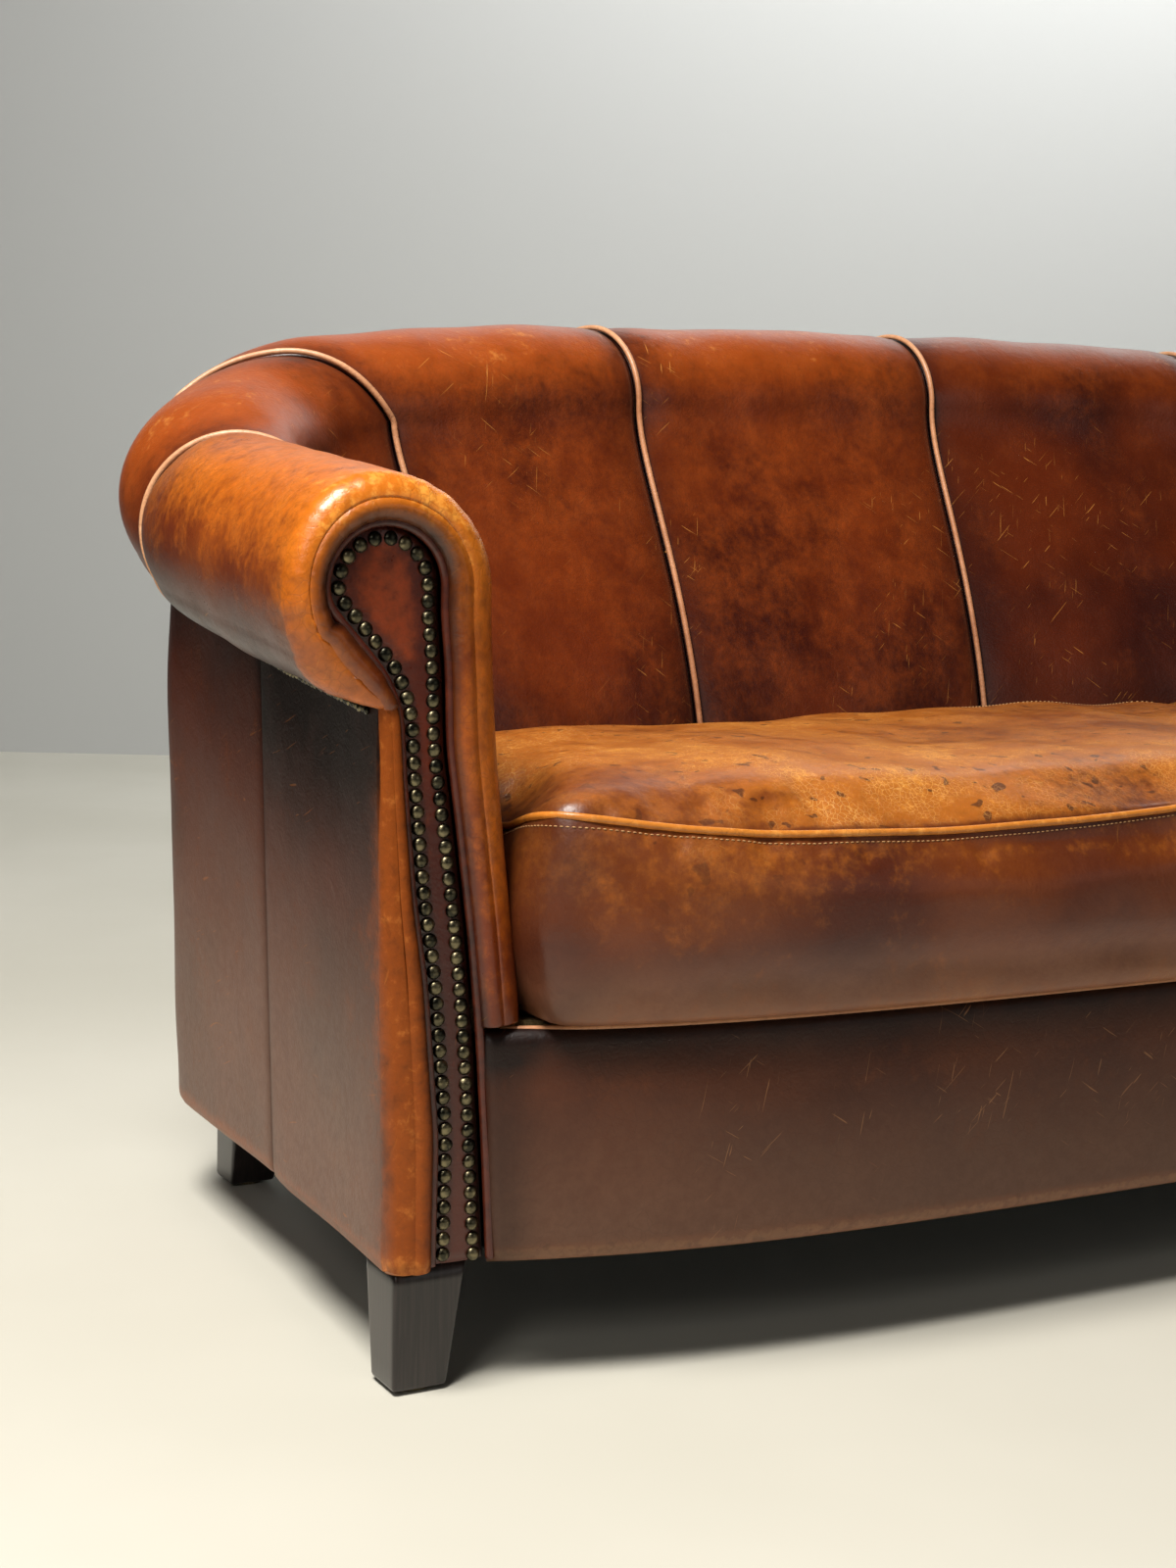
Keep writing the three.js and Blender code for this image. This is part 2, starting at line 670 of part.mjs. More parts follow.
// Seat cushions.
// A cushion is its plan outline carried up: tucked at the foot, upright, and crowned above the seam.
const cushionFoot = 264
const cushionFront = -28                // in front of the apron
const cushionHalfWidth = 953            // from the centre line to the arm
const cushionEase = 5                   // clear of the back and the arm
const cushionLevels = [
  [cushionFoot, 0.965], [272, 0.99], [300, 1], [cushionEdge - 14, 1], [cushionEdge, 0.985],
  [cushionTop - 14, 0.9], [cushionTop - 3, 0.72], [cushionTop + 4, 0.45],
]
for (const [label, side] of sides) {
  const outline = seatOutline(-cushionEase, cushionFront, cushionHalfGap)
    .map(([x, y]) => [Math.min(x, cushionHalfWidth), y])
  const middle = [0, 1].map(i => {
    const values = outline.map(point => point[i])
    return (Math.max(...values) + Math.min(...values)) / 2
  })
  const rings = cushionLevels.map(([z, size]) => outline.map(([x, y]) => [
    side * mix(middle[0], x, size), mix(middle[1], y, size), z]))
  add(`${label}_seat_cushion`, loft(rings, flatCap(outline)), cushionLeather)
}

// Posts, arm boards and the cloth underneath.
const postHalfWidth = 22
const postStations = [['back_post', 330], ['corner_post', 905]]
const postBelowRail = 17                // posts stop this far under the roll's centre
function postSection(s) {
  const reach = planeAt(s).cover - coverGap
  const top = along('crest', s) - rollHalfHeight - postBelowRail
  return [[reach, railTop + gap], [reach - timber, railTop + gap], [reach - timber, top], [reach, top]]
}
for (const [label, side] of sides) {
  for (const [name, s] of postStations) {
    const ends = [side * (s - postHalfWidth), side * (s + postHalfWidth)].sort((a, b) => a - b)
    add(`${label}_${name}`, sweep(postSection, ends[0], ends[1]), frameWood)
  }
  const board = leatherLine(crestLength, padThickness + 5).map(([u, z]) => [place(crestLength, u, z)[0], z])
  const heel = [[1046, 500], [1034, railTop + gap], [1006, railTop + gap], [1004, padFoot]]
  const outline = [...board.slice(0, -1), ...heel].map(([x, z]) => [side * x, z])
  add(`${label}_arm_board`, plate(outline, facingY + 10, facingY + 28), frameWood)
}

// Thin black cloth closing the underside, between the feet and the rails.
const clothInset = 8
const clothHalf = [...sectionStations, crestLength - 20].map(s => (
  place(s, planeAt(s).cover - coverLean - clothInset, 0)
))
const clothFront = bowLine(18, apronHalfWidth).reverse()
const clothMirror = clothHalf.slice(1).map(([x, y]) => [-x, y]).reverse()
const clothOutline = [...clothHalf, ...clothFront, ...clothMirror]
add('dust_cloth', prism(clothOutline, baseHeight + 1, baseHeight + 2.5), blackCloth)

export default group
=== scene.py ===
# The looks of a worn leather tub sofa: puffed channels, rolled and nailed arms, two loose seat cushions,
# a bow front, and aged leather rubbed pale along every edge. Shapes are worked out in millimetres.
import json
import math
from functools import partial, reduce

import bmesh
import bpy
import numpy as np
from mathutils import Matrix
from mathutils.bvhtree import BVHTree


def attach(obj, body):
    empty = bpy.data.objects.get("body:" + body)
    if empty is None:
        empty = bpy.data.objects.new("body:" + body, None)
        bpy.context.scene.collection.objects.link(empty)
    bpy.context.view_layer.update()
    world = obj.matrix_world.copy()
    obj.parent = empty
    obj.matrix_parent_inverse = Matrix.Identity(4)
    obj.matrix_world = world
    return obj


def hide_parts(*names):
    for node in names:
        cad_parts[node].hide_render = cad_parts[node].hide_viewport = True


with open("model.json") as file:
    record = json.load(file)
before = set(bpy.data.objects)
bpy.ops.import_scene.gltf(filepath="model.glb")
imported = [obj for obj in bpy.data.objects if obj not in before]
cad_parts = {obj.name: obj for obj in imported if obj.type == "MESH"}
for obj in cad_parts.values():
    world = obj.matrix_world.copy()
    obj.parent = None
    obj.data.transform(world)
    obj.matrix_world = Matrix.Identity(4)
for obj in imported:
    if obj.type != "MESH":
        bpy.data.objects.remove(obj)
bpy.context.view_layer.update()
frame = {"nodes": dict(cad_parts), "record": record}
print("frame loaded")


# Camera and studio
# the place in metres, the angles in degrees, the lens in mm
camera = {"place": (-1.698, -1.7835, 0.643), "turn": 28.505, "down": 7.198, "roll": 1.236, "lens": 53.8}


def makeCamera():
    # the view direction from its turn and pitch, then the picture rolled about it
    turn, down, roll = (math.radians(camera[key]) for key in ("turn", "down", "roll"))
    forward = np.array([math.sin(turn) * math.cos(down), math.cos(turn) * math.cos(down), -math.sin(down)])
    level = np.array([math.cos(turn), -math.sin(turn), 0])
    below = np.cross(forward, level)
    across = level * math.cos(roll) - below * math.sin(roll)
    low = level * math.sin(roll) + below * math.cos(roll)
    data = bpy.data.cameras.new("camera")
    data.lens = camera["lens"]
    item = bpy.data.objects.new("camera", data)
    axes = Matrix([across, -low, -forward]).transposed().to_4x4()
    item.matrix_world = Matrix.Translation(camera["place"]) @ axes
    bpy.context.scene.collection.objects.link(item)
    bpy.context.scene.camera = item


makeCamera()
bpy.context.scene.view_settings.view_transform = "Standard"


# Small mesh helpers, all on whole arrays
def smoothStep(low, high, value):
    t = np.clip((value - low) / (high - low), 0, 1)
    return t * t * (3 - 2 * t)


def unit(vectors):
    return vectors / np.maximum(np.linalg.norm(vectors, axis=-1, keepdims=True), 1e-9)


def gridNormals(grid):
    # normal = (change along rows) x (change along columns)
    return unit(np.cross(np.gradient(grid, axis=0), np.gradient(grid, axis=1)))


def quads(rows, columns, closeRows=False, closeColumns=False):
    # the four corner numbers of every cell of a grid
    i = np.arange(rows if closeRows else rows - 1)[:, None]
    j = np.arange(columns if closeColumns else columns - 1)[None, :]
    a, b = i * columns + j, i * columns + (j + 1) % columns
    c, d = (i + 1) % rows * columns + (j + 1) % columns, (i + 1) % rows * columns + j
    return np.stack([a, b, c, d], -1).reshape(-1, 4)


def undulate(points, size, seed, waves=9):
    # gentle unevenness: a sum of sine waves about `size` mm long in seeded random directions
    random = np.random.default_rng(seed)
    directions = unit(random.normal(size=(waves, 3)))
    directions = directions * (2 * np.pi / size) * random.uniform(0.6, 1.5, (waves, 1))
    phases = random.uniform(0, 2 * np.pi, waves)
    return np.sin(points @ directions.T + phases).sum(-1) / math.sqrt(waves)


def makeMesh(name, points, faces, values=None, closed=True):
    # points in mm, values as attributes for the finish; a closed mesh is smooth, its faces turned outward
    mesh = bpy.data.meshes.new(name)
    mesh.from_pydata((np.reshape(points, (-1, 3)) * 0.001).tolist(), [], faces)
    for key, value in (values or {}).items():
        attribute = mesh.attributes.new(key, "FLOAT", "POINT")
        attribute.data.foreach_set("value", np.clip(np.asarray(value, np.float32).ravel(), 0, 1))
    mesh.polygons.foreach_set("use_smooth", np.full(len(mesh.polygons), closed))
    if closed:
        work = bmesh.new()
        work.from_mesh(mesh)
        bmesh.ops.recalc_face_normals(work, faces=work.faces)
        work.to_mesh(mesh)
        work.free()
    item = bpy.data.objects.new(name, mesh)
    bpy.context.scene.collection.objects.link(item)
    return item


def shell(name, grid, thickness, values, flip=False):
    # a skin with a wall: the grid, the same grid set in along its normals, and the four edges between
    rows, columns = grid.shape[:2]
    values = {key: np.broadcast_to(value, (rows, columns)) for key, value in values.items()}
    if flip:
        grid, values = grid[::-1], {key: value[::-1] for key, value in values.items()}
    inner = grid - gridNormals(grid) * thickness
    outerFaces = quads(rows, columns)
    shift = rows * columns
    rim = np.concatenate([
        np.arange(columns),
        np.arange(1, rows) * columns + columns - 1,
        (rows - 1) * columns + np.arange(columns - 2, -1, -1),
        np.arange(rows - 2, 0, -1) * columns,
    ])
    after = np.roll(rim, -1)
    edges = np.stack([after, rim, rim + shift, after + shift], -1)
    faces = np.concatenate([outerFaces, outerFaces[:, ::-1] + shift, edges])
    doubled = {key: np.tile(value.ravel(), 2) for key, value in values.items()}
    return makeMesh(name, np.stack([grid, inner]), faces.tolist(), doubled)


def pathFrame(path, normals, closed=False):
    # tangent, side and upright of every point of a path, from the surface normals it lies on
    if closed:
        tangent = unit(np.roll(path, -1, 0) - np.roll(path, 1, 0))
    else:
        tangent = unit(np.gradient(path, axis=0))
    side = unit(np.cross(tangent, normals))
    return tangent, side, np.cross(side, tangent)


def cordMesh(name, path, normals, radius, values, sides=10, closed=False):
    # ring of each point = radius * (side * cos + upright * sin)
    _, side, upright = pathFrame(path, normals, closed)
    angle = np.linspace(0, 2 * np.pi, sides, endpoint=False)[:, None]
    rings = path[:, None] + radius * (side[:, None] * np.cos(angle) + upright[:, None] * np.sin(angle))
    points = rings.reshape(-1, 3)
    faces = quads(len(path), sides, closed, True).tolist()
    spread = {key: np.repeat(np.broadcast_to(value, len(path)), sides) for key, value in values.items()}
    if not closed:
        # each end shrinks to its own middle point
        count = len(points)
        for corner in range(sides):
            turn = (corner + 1) % sides
            faces += [[turn, corner, count], [corner + count - sides, turn + count - sides, count + 1]]
        points = np.concatenate([points, path[:1], path[-1:]])
        spread = {key: np.append(value, [0, 0]) for key, value in spread.items()}
    return makeMesh(name, points, faces, spread)


def dome(sides, rings, radius, height, base=0.0):
    # points of a low dome: ring k stands at angle k of a quarter circle, with a flat closed underside
    turn = np.linspace(0, 2 * np.pi, sides, endpoint=False)
    lift = np.linspace(0, np.pi / 2, rings + 1)[:-1, None]
    x, y = radius * np.cos(lift) * np.cos(turn), radius * np.cos(lift) * np.sin(turn)
    z = base + height * np.sin(lift) + 0 * x
    ends = [[0, 0, base + height], [0, 0, base - 1]]
    points = np.concatenate([np.stack([x, y, z], -1).reshape(-1, 3), ends])
    last, top = (rings - 1) * sides, rings * sides
    faces = quads(rings, sides, False, True).tolist()
    for a in range(sides):
        b = (a + 1) % sides
        faces += [[last + a, last + b, top], [b, a, top + 1]]
    return points, faces


def repeatShape(name, shape, centres, normals, wobble, seed):
    # the same small shape at every centre, standing on its normal and tipped a little at random
    points, faces = shape
    tangent, side, upright = pathFrame(centres, normals)
    random = np.random.default_rng(seed)
    tip = random.normal(0, wobble, (len(centres), 2, 1))
    lean = unit(upright + tangent * tip[:, 0] + side * tip[:, 1])
    along = unit(np.cross(side, lean))
    axes = np.stack([along, side, lean], 1)
    placed = centres[:, None] + points @ axes
    count = len(points)
    faces = [[corner + copy * count for corner in face] for copy in range(len(centres)) for face in faces]
    return makeMesh(name, placed, faces, {"tone": np.repeat(random.uniform(0, 1, len(centres)), count)})


def walked(path):
    # distance of each point of a polyline from its start
    return np.concatenate([[0], np.cumsum(np.linalg.norm(np.diff(path, axis=0), axis=1))])


def pointsAt(path, at):
    # points of a polyline at the given distances from its start
    length = walked(path)
    return np.stack([np.interp(at, length, axis) for axis in path.T], -1)


def softPath(points, spacing, blur, closed=False):
    # a polyline walked at even steps, then smoothed by averaging each point with its neighbours
    path = np.concatenate([points, points[:1]]) if closed else np.asarray(points, float)
    total = walked(path)[-1]
    path = pointsAt(path, np.linspace(0, total, max(3, round(total / spacing)) + 1))
    if closed:
        path = path[:-1]
    for _ in range(blur):
        blurred = (np.roll(path, 1, 0) + 2 * path + np.roll(path, -1, 0)) / 4
        if not closed:
            blurred[[0, -1]] = path[[0, -1]]
        path = blurred
    return path


def evenly(path, pitch):
    # points at one pitch along a path
    return pointsAt(path, np.arange(pitch / 2, walked(path)[-1], pitch))


def place(piece, slotName, finish, *nodes):
    # the finish, the body that carries the piece, and the frame's nodes that it stands for
    piece.data.materials.append(finish)
    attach(piece, "root")
    if nodes:
        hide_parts(*nodes)


# Finishes
def linear(hexColour):
    # sRGB hex to linear light
    parts = [int(hexColour[i:i + 2], 16) / 255 for i in (1, 3, 5)]
    return (*(part / 12.92 if part <= 0.04045 else ((part + 0.055) / 1.055) ** 2.4 for part in parts), 1)


def startMaterial(name, roughness, **constants):
    finish = bpy.data.materials.new(name)
    finish.use_nodes = True
    surface = finish.node_tree.nodes["Principled BSDF"]
    surface.inputs["Roughness"].default_value = roughness
    for key, value in constants.items():
        surface.inputs[key.replace("_", " ")].default_value = value
    return finish, surface


def addNode(finish, kind, links=None, **settings):
    # one node with its settings and links; a setting that is no property of the node is an input's value
    node = finish.node_tree.nodes.new(kind)
    for key, value in settings.items():
        if hasattr(node, key):
            setattr(node, key, value)
        else:
            node.inputs[key.replace("_", " ")].default_value = value
    for key, source in (links or {}).items():
        finish.node_tree.links.new(source, node.inputs[key])
    return node


def fill(finish, surface, **sources):
    # joins each source to the surface's input of the same name
    for key, source in sources.items():
        finish.node_tree.links.new(source, surface.inputs[key.replace("_", " ")])


def fillInputs(finish, node, values):
    # each input takes a link, a hex colour or a number
    for index, value in values:
        if isinstance(value, bpy.types.NodeSocket):
            finish.node_tree.links.new(value, node.inputs[index])
        else:
            node.inputs[index].default_value = linear(value) if isinstance(value, str) else value


def perMm(size):
    # noise scale, in metres of object space, for features about `size` mm across
    return 1000 / size


def blendTwo(finish, share, first, second, mode="MIX"):
    # colour mix; each colour is a socket or a hex value
    node = addNode(finish, "ShaderNodeMix", data_type="RGBA", blend_type=mode)
    fillInputs(finish, node, ((0, share), (6, first), (7, second)))
    return node.outputs[2]


def calculate(finish, operation, *values, clamp=False):
    node = addNode(finish, "ShaderNodeMath", operation=operation, use_clamp=clamp)
    fillInputs(finish, node, enumerate(values))
    return node.outputs[0]


def band(finish, value, low, high):
    # 0 below low, 1 above high, smooth between; high may be under low to turn it round
    node = addNode(finish, "ShaderNodeMapRange", {"Value": value}, interpolation_type="SMOOTHSTEP",
                   From_Min=low, From_Max=high)
    return node.outputs["Result"]


def stretchedNoise(finish, stretch, **settings):
    # noise along a grain: features of the given size in mm along x, y and z
    spot = addNode(finish, "ShaderNodeTexCoord").outputs["Object"]
    mapped = addNode(finish, "ShaderNodeMapping", {"Vector": spot}, Scale=[perMm(size) for size in stretch])
    noise = addNode(finish, "ShaderNodeTexNoise", {"Vector": mapped.outputs[0]}, Scale=1.0, **settings)
    return noise.outputs["Fac"]


# what a leather has unless its own entry says otherwise; sizes are in mm
usualLeather = {"shine": 0.5, "wax": 0.06, "mottle": 0.9, "patchy": 0.55, "spots": 0.15, "crackSize": 9,
                "paleCracks": False, "dullness": 0.12}
# each row of scratches: how far it is turned, and where its pattern starts
scratchRows = ((0.7, 0.0), (-0.55, 3.1), (1.35, 5.7))


def agedLeather(name, tone):
    # Waxed, drum-dyed cowhide, decades old: the dye shows in clouds, edges are rubbed back to raw tan, and
    # dirt has gathered beside the seams. Painted shade darkens it further there, in grooves, under the roll
    # and between parts, and a painted reflection of the bright floor greys it low down. The wax leaves a soft
    # low gloss that breaks up on the grain.
    finish, surface = startMaterial(name, tone["roughness"], Specular_IOR_Level=tone["shine"], IOR=1.5,
                                    Coat_Weight=tone["wax"], Coat_Roughness=0.2)
    between, blend = partial(band, finish), partial(blendTwo, finish)
    # scaled(x, a, b) = a x + b
    times, plus, minus, scaled, larger = (partial(calculate, finish, operation) for operation in (
        "MULTIPLY", "ADD", "SUBTRACT", "MULTIPLY_ADD", "MAXIMUM"))
    spot = addNode(finish, "ShaderNodeTexCoord").outputs["Object"]

    def noise(size, detail, rough, distort=0.0):
        settings = {"Scale": perMm(size), "Detail": float(detail), "Roughness": rough, "Distortion": distort}
        return addNode(finish, "ShaderNodeTexNoise", {"Vector": spot}, **settings).outputs["Fac"]

    # the second mask holds dirt and painted shade together; the third marks where a reflection of the bright
    # floor is painted
    rub, grime_and_shade, low = (addNode(finish, "ShaderNodeAttribute", attribute_name=key).outputs["Fac"]
                       for key in ("rub", "grime_and_shade", "low"))
    cloud = noise(190, 3, 0.5)
    blotch = noise(42, 5, 0.62, 0.3)
    speck = noise(9, 4, 0.65)
    fine = noise(2.6, 3, 0.6)

    # the dye: deep to middle in wide clouds, then brighter where it is rubbed
    colour = blend(between(cloud, 0.36, 0.64), tone["deep"], tone["middle"])
    worn = plus(rub, times(scaled(blotch, 1.3, -0.65), tone["patchy"]))
    worn = plus(worn, scaled(speck, tone["mottle"], -0.5 * tone["mottle"]))
    colour = blend(between(worn, 0.12, 0.78), colour, tone["bright"])
    colour = blend(between(plus(worn, scaled(speck, 0.5, -0.25)), 0.72, 1.12), colour, tone["raw"])
    # low down the colour turns grey: a painted reflection of the bright floor
    colour = blend(times(low, scaled(blotch, 0.7, 0.65), clamp=True), colour, tone["floor_sheen"])
    # dirt and painted shade beside the seams, in grooves, under the roll and between parts; dirt in small
    # dark spots
    colour = blend(times(grime_and_shade, scaled(blotch, 0.9, 0.55), clamp=True), colour, tone["dirt_and_shade"])
    spots = times(between(noise(13, 1, 0.3, 0.4), 0.68, 0.73), tone["spots"])
    colour = blend(times(spots, between(rub, 0.15, 0.5)), colour, tone["dirt_and_shade"])
    colour = blend(times(between(speck, 0.3, 0.75), 0.28), colour, tone["middle"], "SOFT_LIGHT")

    # crackle: the fine net of cracks in the dried top coat
    wander = addNode(finish, "ShaderNodeTexNoise", {"Vector": spot}, Scale=perMm(22), Detail=2.0)
    weak = addNode(finish, "ShaderNodeVectorMath", {0: wander.outputs["Color"]}, operation="SCALE",
                   Scale=0.012)
    bent = addNode(finish, "ShaderNodeVectorMath", {0: spot, 1: weak.outputs[0]}, operation="ADD").outputs[0]
    net = addNode(finish, "ShaderNodeTexVoronoi", {"Vector": bent}, feature="DISTANCE_TO_EDGE",
                  Scale=perMm(tone["crackSize"])).outputs["Distance"]
    crack = times(times(between(net, 0.075, 0.0), between(blotch, 0.38, 0.62)), tone["crackle"])
    if tone["paleCracks"]:
        # where it is rubbed, the net shows as pale threads of bare hide
        crack = times(crack, between(rub, 0.25, 0.75))
    colour = blend(crack, colour, tone["crack"])

    # scratches: thin light lines, the crests of noise that is turned first and drawn out after
    rows = []
    for slant, start in scratchRows:
        turned = addNode(finish, "ShaderNodeMapping", {"Vector": spot}, Rotation=(0.35, slant, 0.5 * slant),
                         Location=(start, start, 0))
        drawnOut = addNode(finish, "ShaderNodeMapping", {"Vector": turned.outputs[0]},
                           Scale=(perMm(38), perMm(38), perMm(1.7)))
        line = addNode(finish, "ShaderNodeTexNoise", {"Vector": drawnOut.outputs[0]}, Scale=1.0, Detail=1.0,
                       Distortion=0.45).outputs["Fac"]
        rows.append(times(between(line, 0.735, 0.77), between(noise(130, 2, 0.5), 0.5, 0.62)))
    scratches = times(reduce(larger, rows), tone["scratches"])
    colour = blend(scratches, colour, tone["raw"])

    # gloss: rougher in blotches and low down, broken up finely
    gloss = plus(scaled(blotch, 0.24, tone["roughness"] - 0.12), times(low, tone["dullness"]))
    gloss = plus(gloss, scaled(fine, 0.16, -0.08), clamp=True)

    # relief: pebbled grain about 2 mm across, drawn a little coarse so that it shows, and soft creases
    pebble = addNode(finish, "ShaderNodeTexVoronoi", {"Vector": bent}, feature="SMOOTH_F1",
                     Scale=perMm(2.4)).outputs["Distance"]
    relief = plus(scaled(pebble, 0.35, times(fine, 0.35)), times(noise(26, 4, 0.6, 0.8), 1.6))
    relief = minus(minus(relief, times(crack, 1.2)), times(scratches, 0.4))
    bump = addNode(finish, "ShaderNodeBump", {"Height": relief}, Strength=0.35, Distance=0.001)
    fill(finish, surface, Base_Color=colour, Roughness=gloss, Normal=bump.outputs[0])
    return finish


# in each leather the pale grey colour mixed in low down is a painted reflection of the floor, and the darkest
# colour serves both dirt and painted shade
leathers = {
    "tub": {
        "deep": "#40150a", "middle": "#6b2a0d", "bright": "#a04b14", "raw": "#cf8a40", "floor_sheen": "#7d6455",
        "dirt_and_shade": "#270c06", "crack": "#2c0f08", "roughness": 0.36, "scratches": 0.6, "crackle": 0.12,
        "spots": 0.08, "mottle": 0.55,
    },
    "arm": {
        "deep": "#6a270a", "middle": "#8f420f", "bright": "#c9701a", "raw": "#eda545", "floor_sheen": "#6f5546",
        "dirt_and_shade": "#200b05", "crack": "#3a160a", "roughness": 0.33, "scratches": 0.3, "crackle": 0.2,
    },
    "side": {
        "deep": "#38140a", "middle": "#522110", "bright": "#954a14", "raw": "#c07430", "floor_sheen": "#9c8170",
        "dirt_and_shade": "#170705", "crack": "#2a120c", "roughness": 0.42, "scratches": 0.3, "crackle": 0.1,
        "dullness": 0.02, "shine": 0.14, "wax": 0.0,
    },
    "apron": {
        "deep": "#3f1a0d", "middle": "#5a2f1a", "bright": "#7d4522", "raw": "#c18a5c", "floor_sheen": "#6a4c3b",
        "dirt_and_shade": "#190a06", "crack": "#2a130d", "roughness": 0.44, "scratches": 0.35, "crackle": 0.12,
        "shine": 0.35, "wax": 0.0,
    },
    "cushion": {
        "deep": "#4f1f0b", "middle": "#70350f", "bright": "#ad651c", "raw": "#cf8d36", "floor_sheen": "#8f654a",
        "dirt_and_shade": "#3d1a0a", "crack": "#dfa655", "roughness": 0.43, "scratches": 0.3, "crackle": 0.55,
        "crackSize": 4.2, "paleCracks": True, "spots": 0.75, "patchy": 0.6,
    },
    "facing": {
        "deep": "#451307", "middle": "#6a240b", "bright": "#984015", "raw": "#b86e35", "floor_sheen": "#59372b",
        "dirt_and_shade": "#150704", "crack": "#240c07", "roughness": 0.32, "scratches": 0.2, "crackle": 0.1,
    },
    "piping": {
        "deep": "#9c6440", "middle": "#b67d55", "bright": "#cf9a72", "raw": "#e2b792", "floor_sheen": "#a37c62",
        "dirt_and_shade": "#4c2313", "crack": "#6b3c24", "roughness": 0.42, "scratches": 0.1, "crackle": 0.2,
    },
    "edge": {
        "deep": "#8a4313", "middle": "#a65a1b", "bright": "#cb7f2c", "raw": "#e5a652", "floor_sheen": "#8a6448",
        "dirt_and_shade": "#3a1a0c", "crack": "#55290f", "roughness": 0.4, "scratches": 0.1, "crackle": 0.2,
    },
    "welt": {
        "deep": "#33100a", "middle": "#4c1a0e", "bright": "#7e351c", "raw": "#9c552e", "floor_sheen": "#4f3026",
        "dirt_and_shade": "#150806", "crack": "#200b07", "roughness": 0.34, "scratches": 0.1, "crackle": 0.1,
    },
}
leatherFinish = {}
for key, tone in leathers.items():
    leatherFinish[key] = agedLeather(f"waxed_hide_{key}", {**usualLeather, **tone})


def agedBrass():
    # Lacquered brass nails gone nearly black: where hands have rubbed them a golden tone shows, in patches
    # and on some nails more than others.
    finish, surface = startMaterial("antiqued_brass", 0.34, Metallic=1.0)
    spot = addNode(finish, "ShaderNodeTexCoord").outputs["Object"]
    noise = addNode(finish, "ShaderNodeTexNoise", {"Vector": spot}, Scale=perMm(7), Detail=3.0)
    tarnish = noise.outputs["Fac"]
    each = addNode(finish, "ShaderNodeAttribute", attribute_name="tone").outputs["Fac"]
    offset = calculate(finish, "MULTIPLY_ADD", each, 0.7, -0.35)
    share = calculate(finish, "ADD", band(finish, tarnish, 0.35, 0.7), offset, clamp=True)
    fill(finish, surface, Base_Color=blendTwo(finish, share, "#34332b", "#7d745a"),
         Roughness=calculate(finish, "MULTIPLY_ADD", tarnish, 0.25, 0.2))
    return finish


def stainedWood():
    # Black-brown stained beech with a thin satin lacquer: long straight grain that shows mostly as gloss.
    finish, surface = startMaterial("stained_beech", 0.34, Coat_Weight=0.25, Coat_Roughness=0.3)
    fibre = stretchedNoise(finish, (2.2, 2.2, 60), Detail=5.0, Roughness=0.65)
    bump = addNode(finish, "ShaderNodeBump", {"Height": fibre}, Strength=0.2, Distance=0.0005)
    fill(finish, surface, Base_Color=blendTwo(finish, band(finish, fibre, 0.35, 0.7), "#120b0a", "#2c2120"),
         Roughness=calculate(finish, "MULTIPLY_ADD", fibre, 0.2, 0.22), Normal=bump.outputs[0])
    return finish


def plainGrain(name, first, second, stretch, roughness, metallic=0.0, strength=0.3):
    # inner materials seen only from below or apart: two tones along a grain of the given size in mm
    finish, surface = startMaterial(name, roughness, Metallic=metallic)
    grain = stretchedNoise(finish, stretch, Detail=4.0)
    bump = addNode(finish, "ShaderNodeBump", {"Height": grain}, Strength=strength, Distance=0.0008)
    fill(finish, surface, Base_Color=blendTwo(finish, band(finish, grain, 0.3, 0.7), first, second),
         Normal=bump.outputs[0])
    return finish


brass = agedBrass()
darkWood = stainedWood()
sawnBeech = plainGrain("sawn_beech", "#a87c4c", "#c79c68", (70, 4, 4), 0.75)
springWire = plainGrain("oiled_spring_wire", "#4b4c4e", "#77787a", (9, 9, 9), 0.35, 1.0)
juteCanvas = plainGrain("jute_canvas", "#7d6845", "#a8905f", (1.8, 1.8, 1.8), 0.95, 0.0, 0.8)
underCloth = plainGrain("spunbonded_cloth", "#121214", "#1e1e21", (1.5, 1.5, 1.5), 0.9, 0.0, 0.4)
pressedFelt = plainGrain("pressed_felt", "#7c6f57", "#a39578", (1.2, 1.2, 1.2), 0.95, 0.0, 0.6)
thread = plainGrain("waxed_thread", "#a87b4e", "#c89c68", (1.5, 1.5, 1.5), 0.6)
print("finishes made")


# The tub's form: the same curves that the frame is built on
tub = {
    "stations": np.array([[0, 813, 78, 88], [588, 799, 78, 97], [915, 770, 80, 127], [1020, 738, 82, 92],
                          [1095, 711, 80, 90], [1180, 680, 76, 77], [1509, 647, 80, 66]], float),
    "backMiddleY": 331, "backRadius": 3450, "cornerStart": 15.2, "cornerEnd": 86.3, "cornerRadius": 190,
    "rollHalfHeight": 76, "rollDepth": 150, "padFoot": 266, "backSeatDepth": 197, "armSeatDepth": 106,
    "innerCornerStart": 860, "innerCornerEnd": 1250, "coverHalfWidth": 1067, "coverTaper": 0.045,
    "coverBackY": 383, "coverBackCurve": 0.0001, "coverCorner": 100, "coverLean": 13, "facingY": -318,
    "seams": (197, 588, 1020, 1180), "crestLength": 1509, "baseHeight": 94,
}


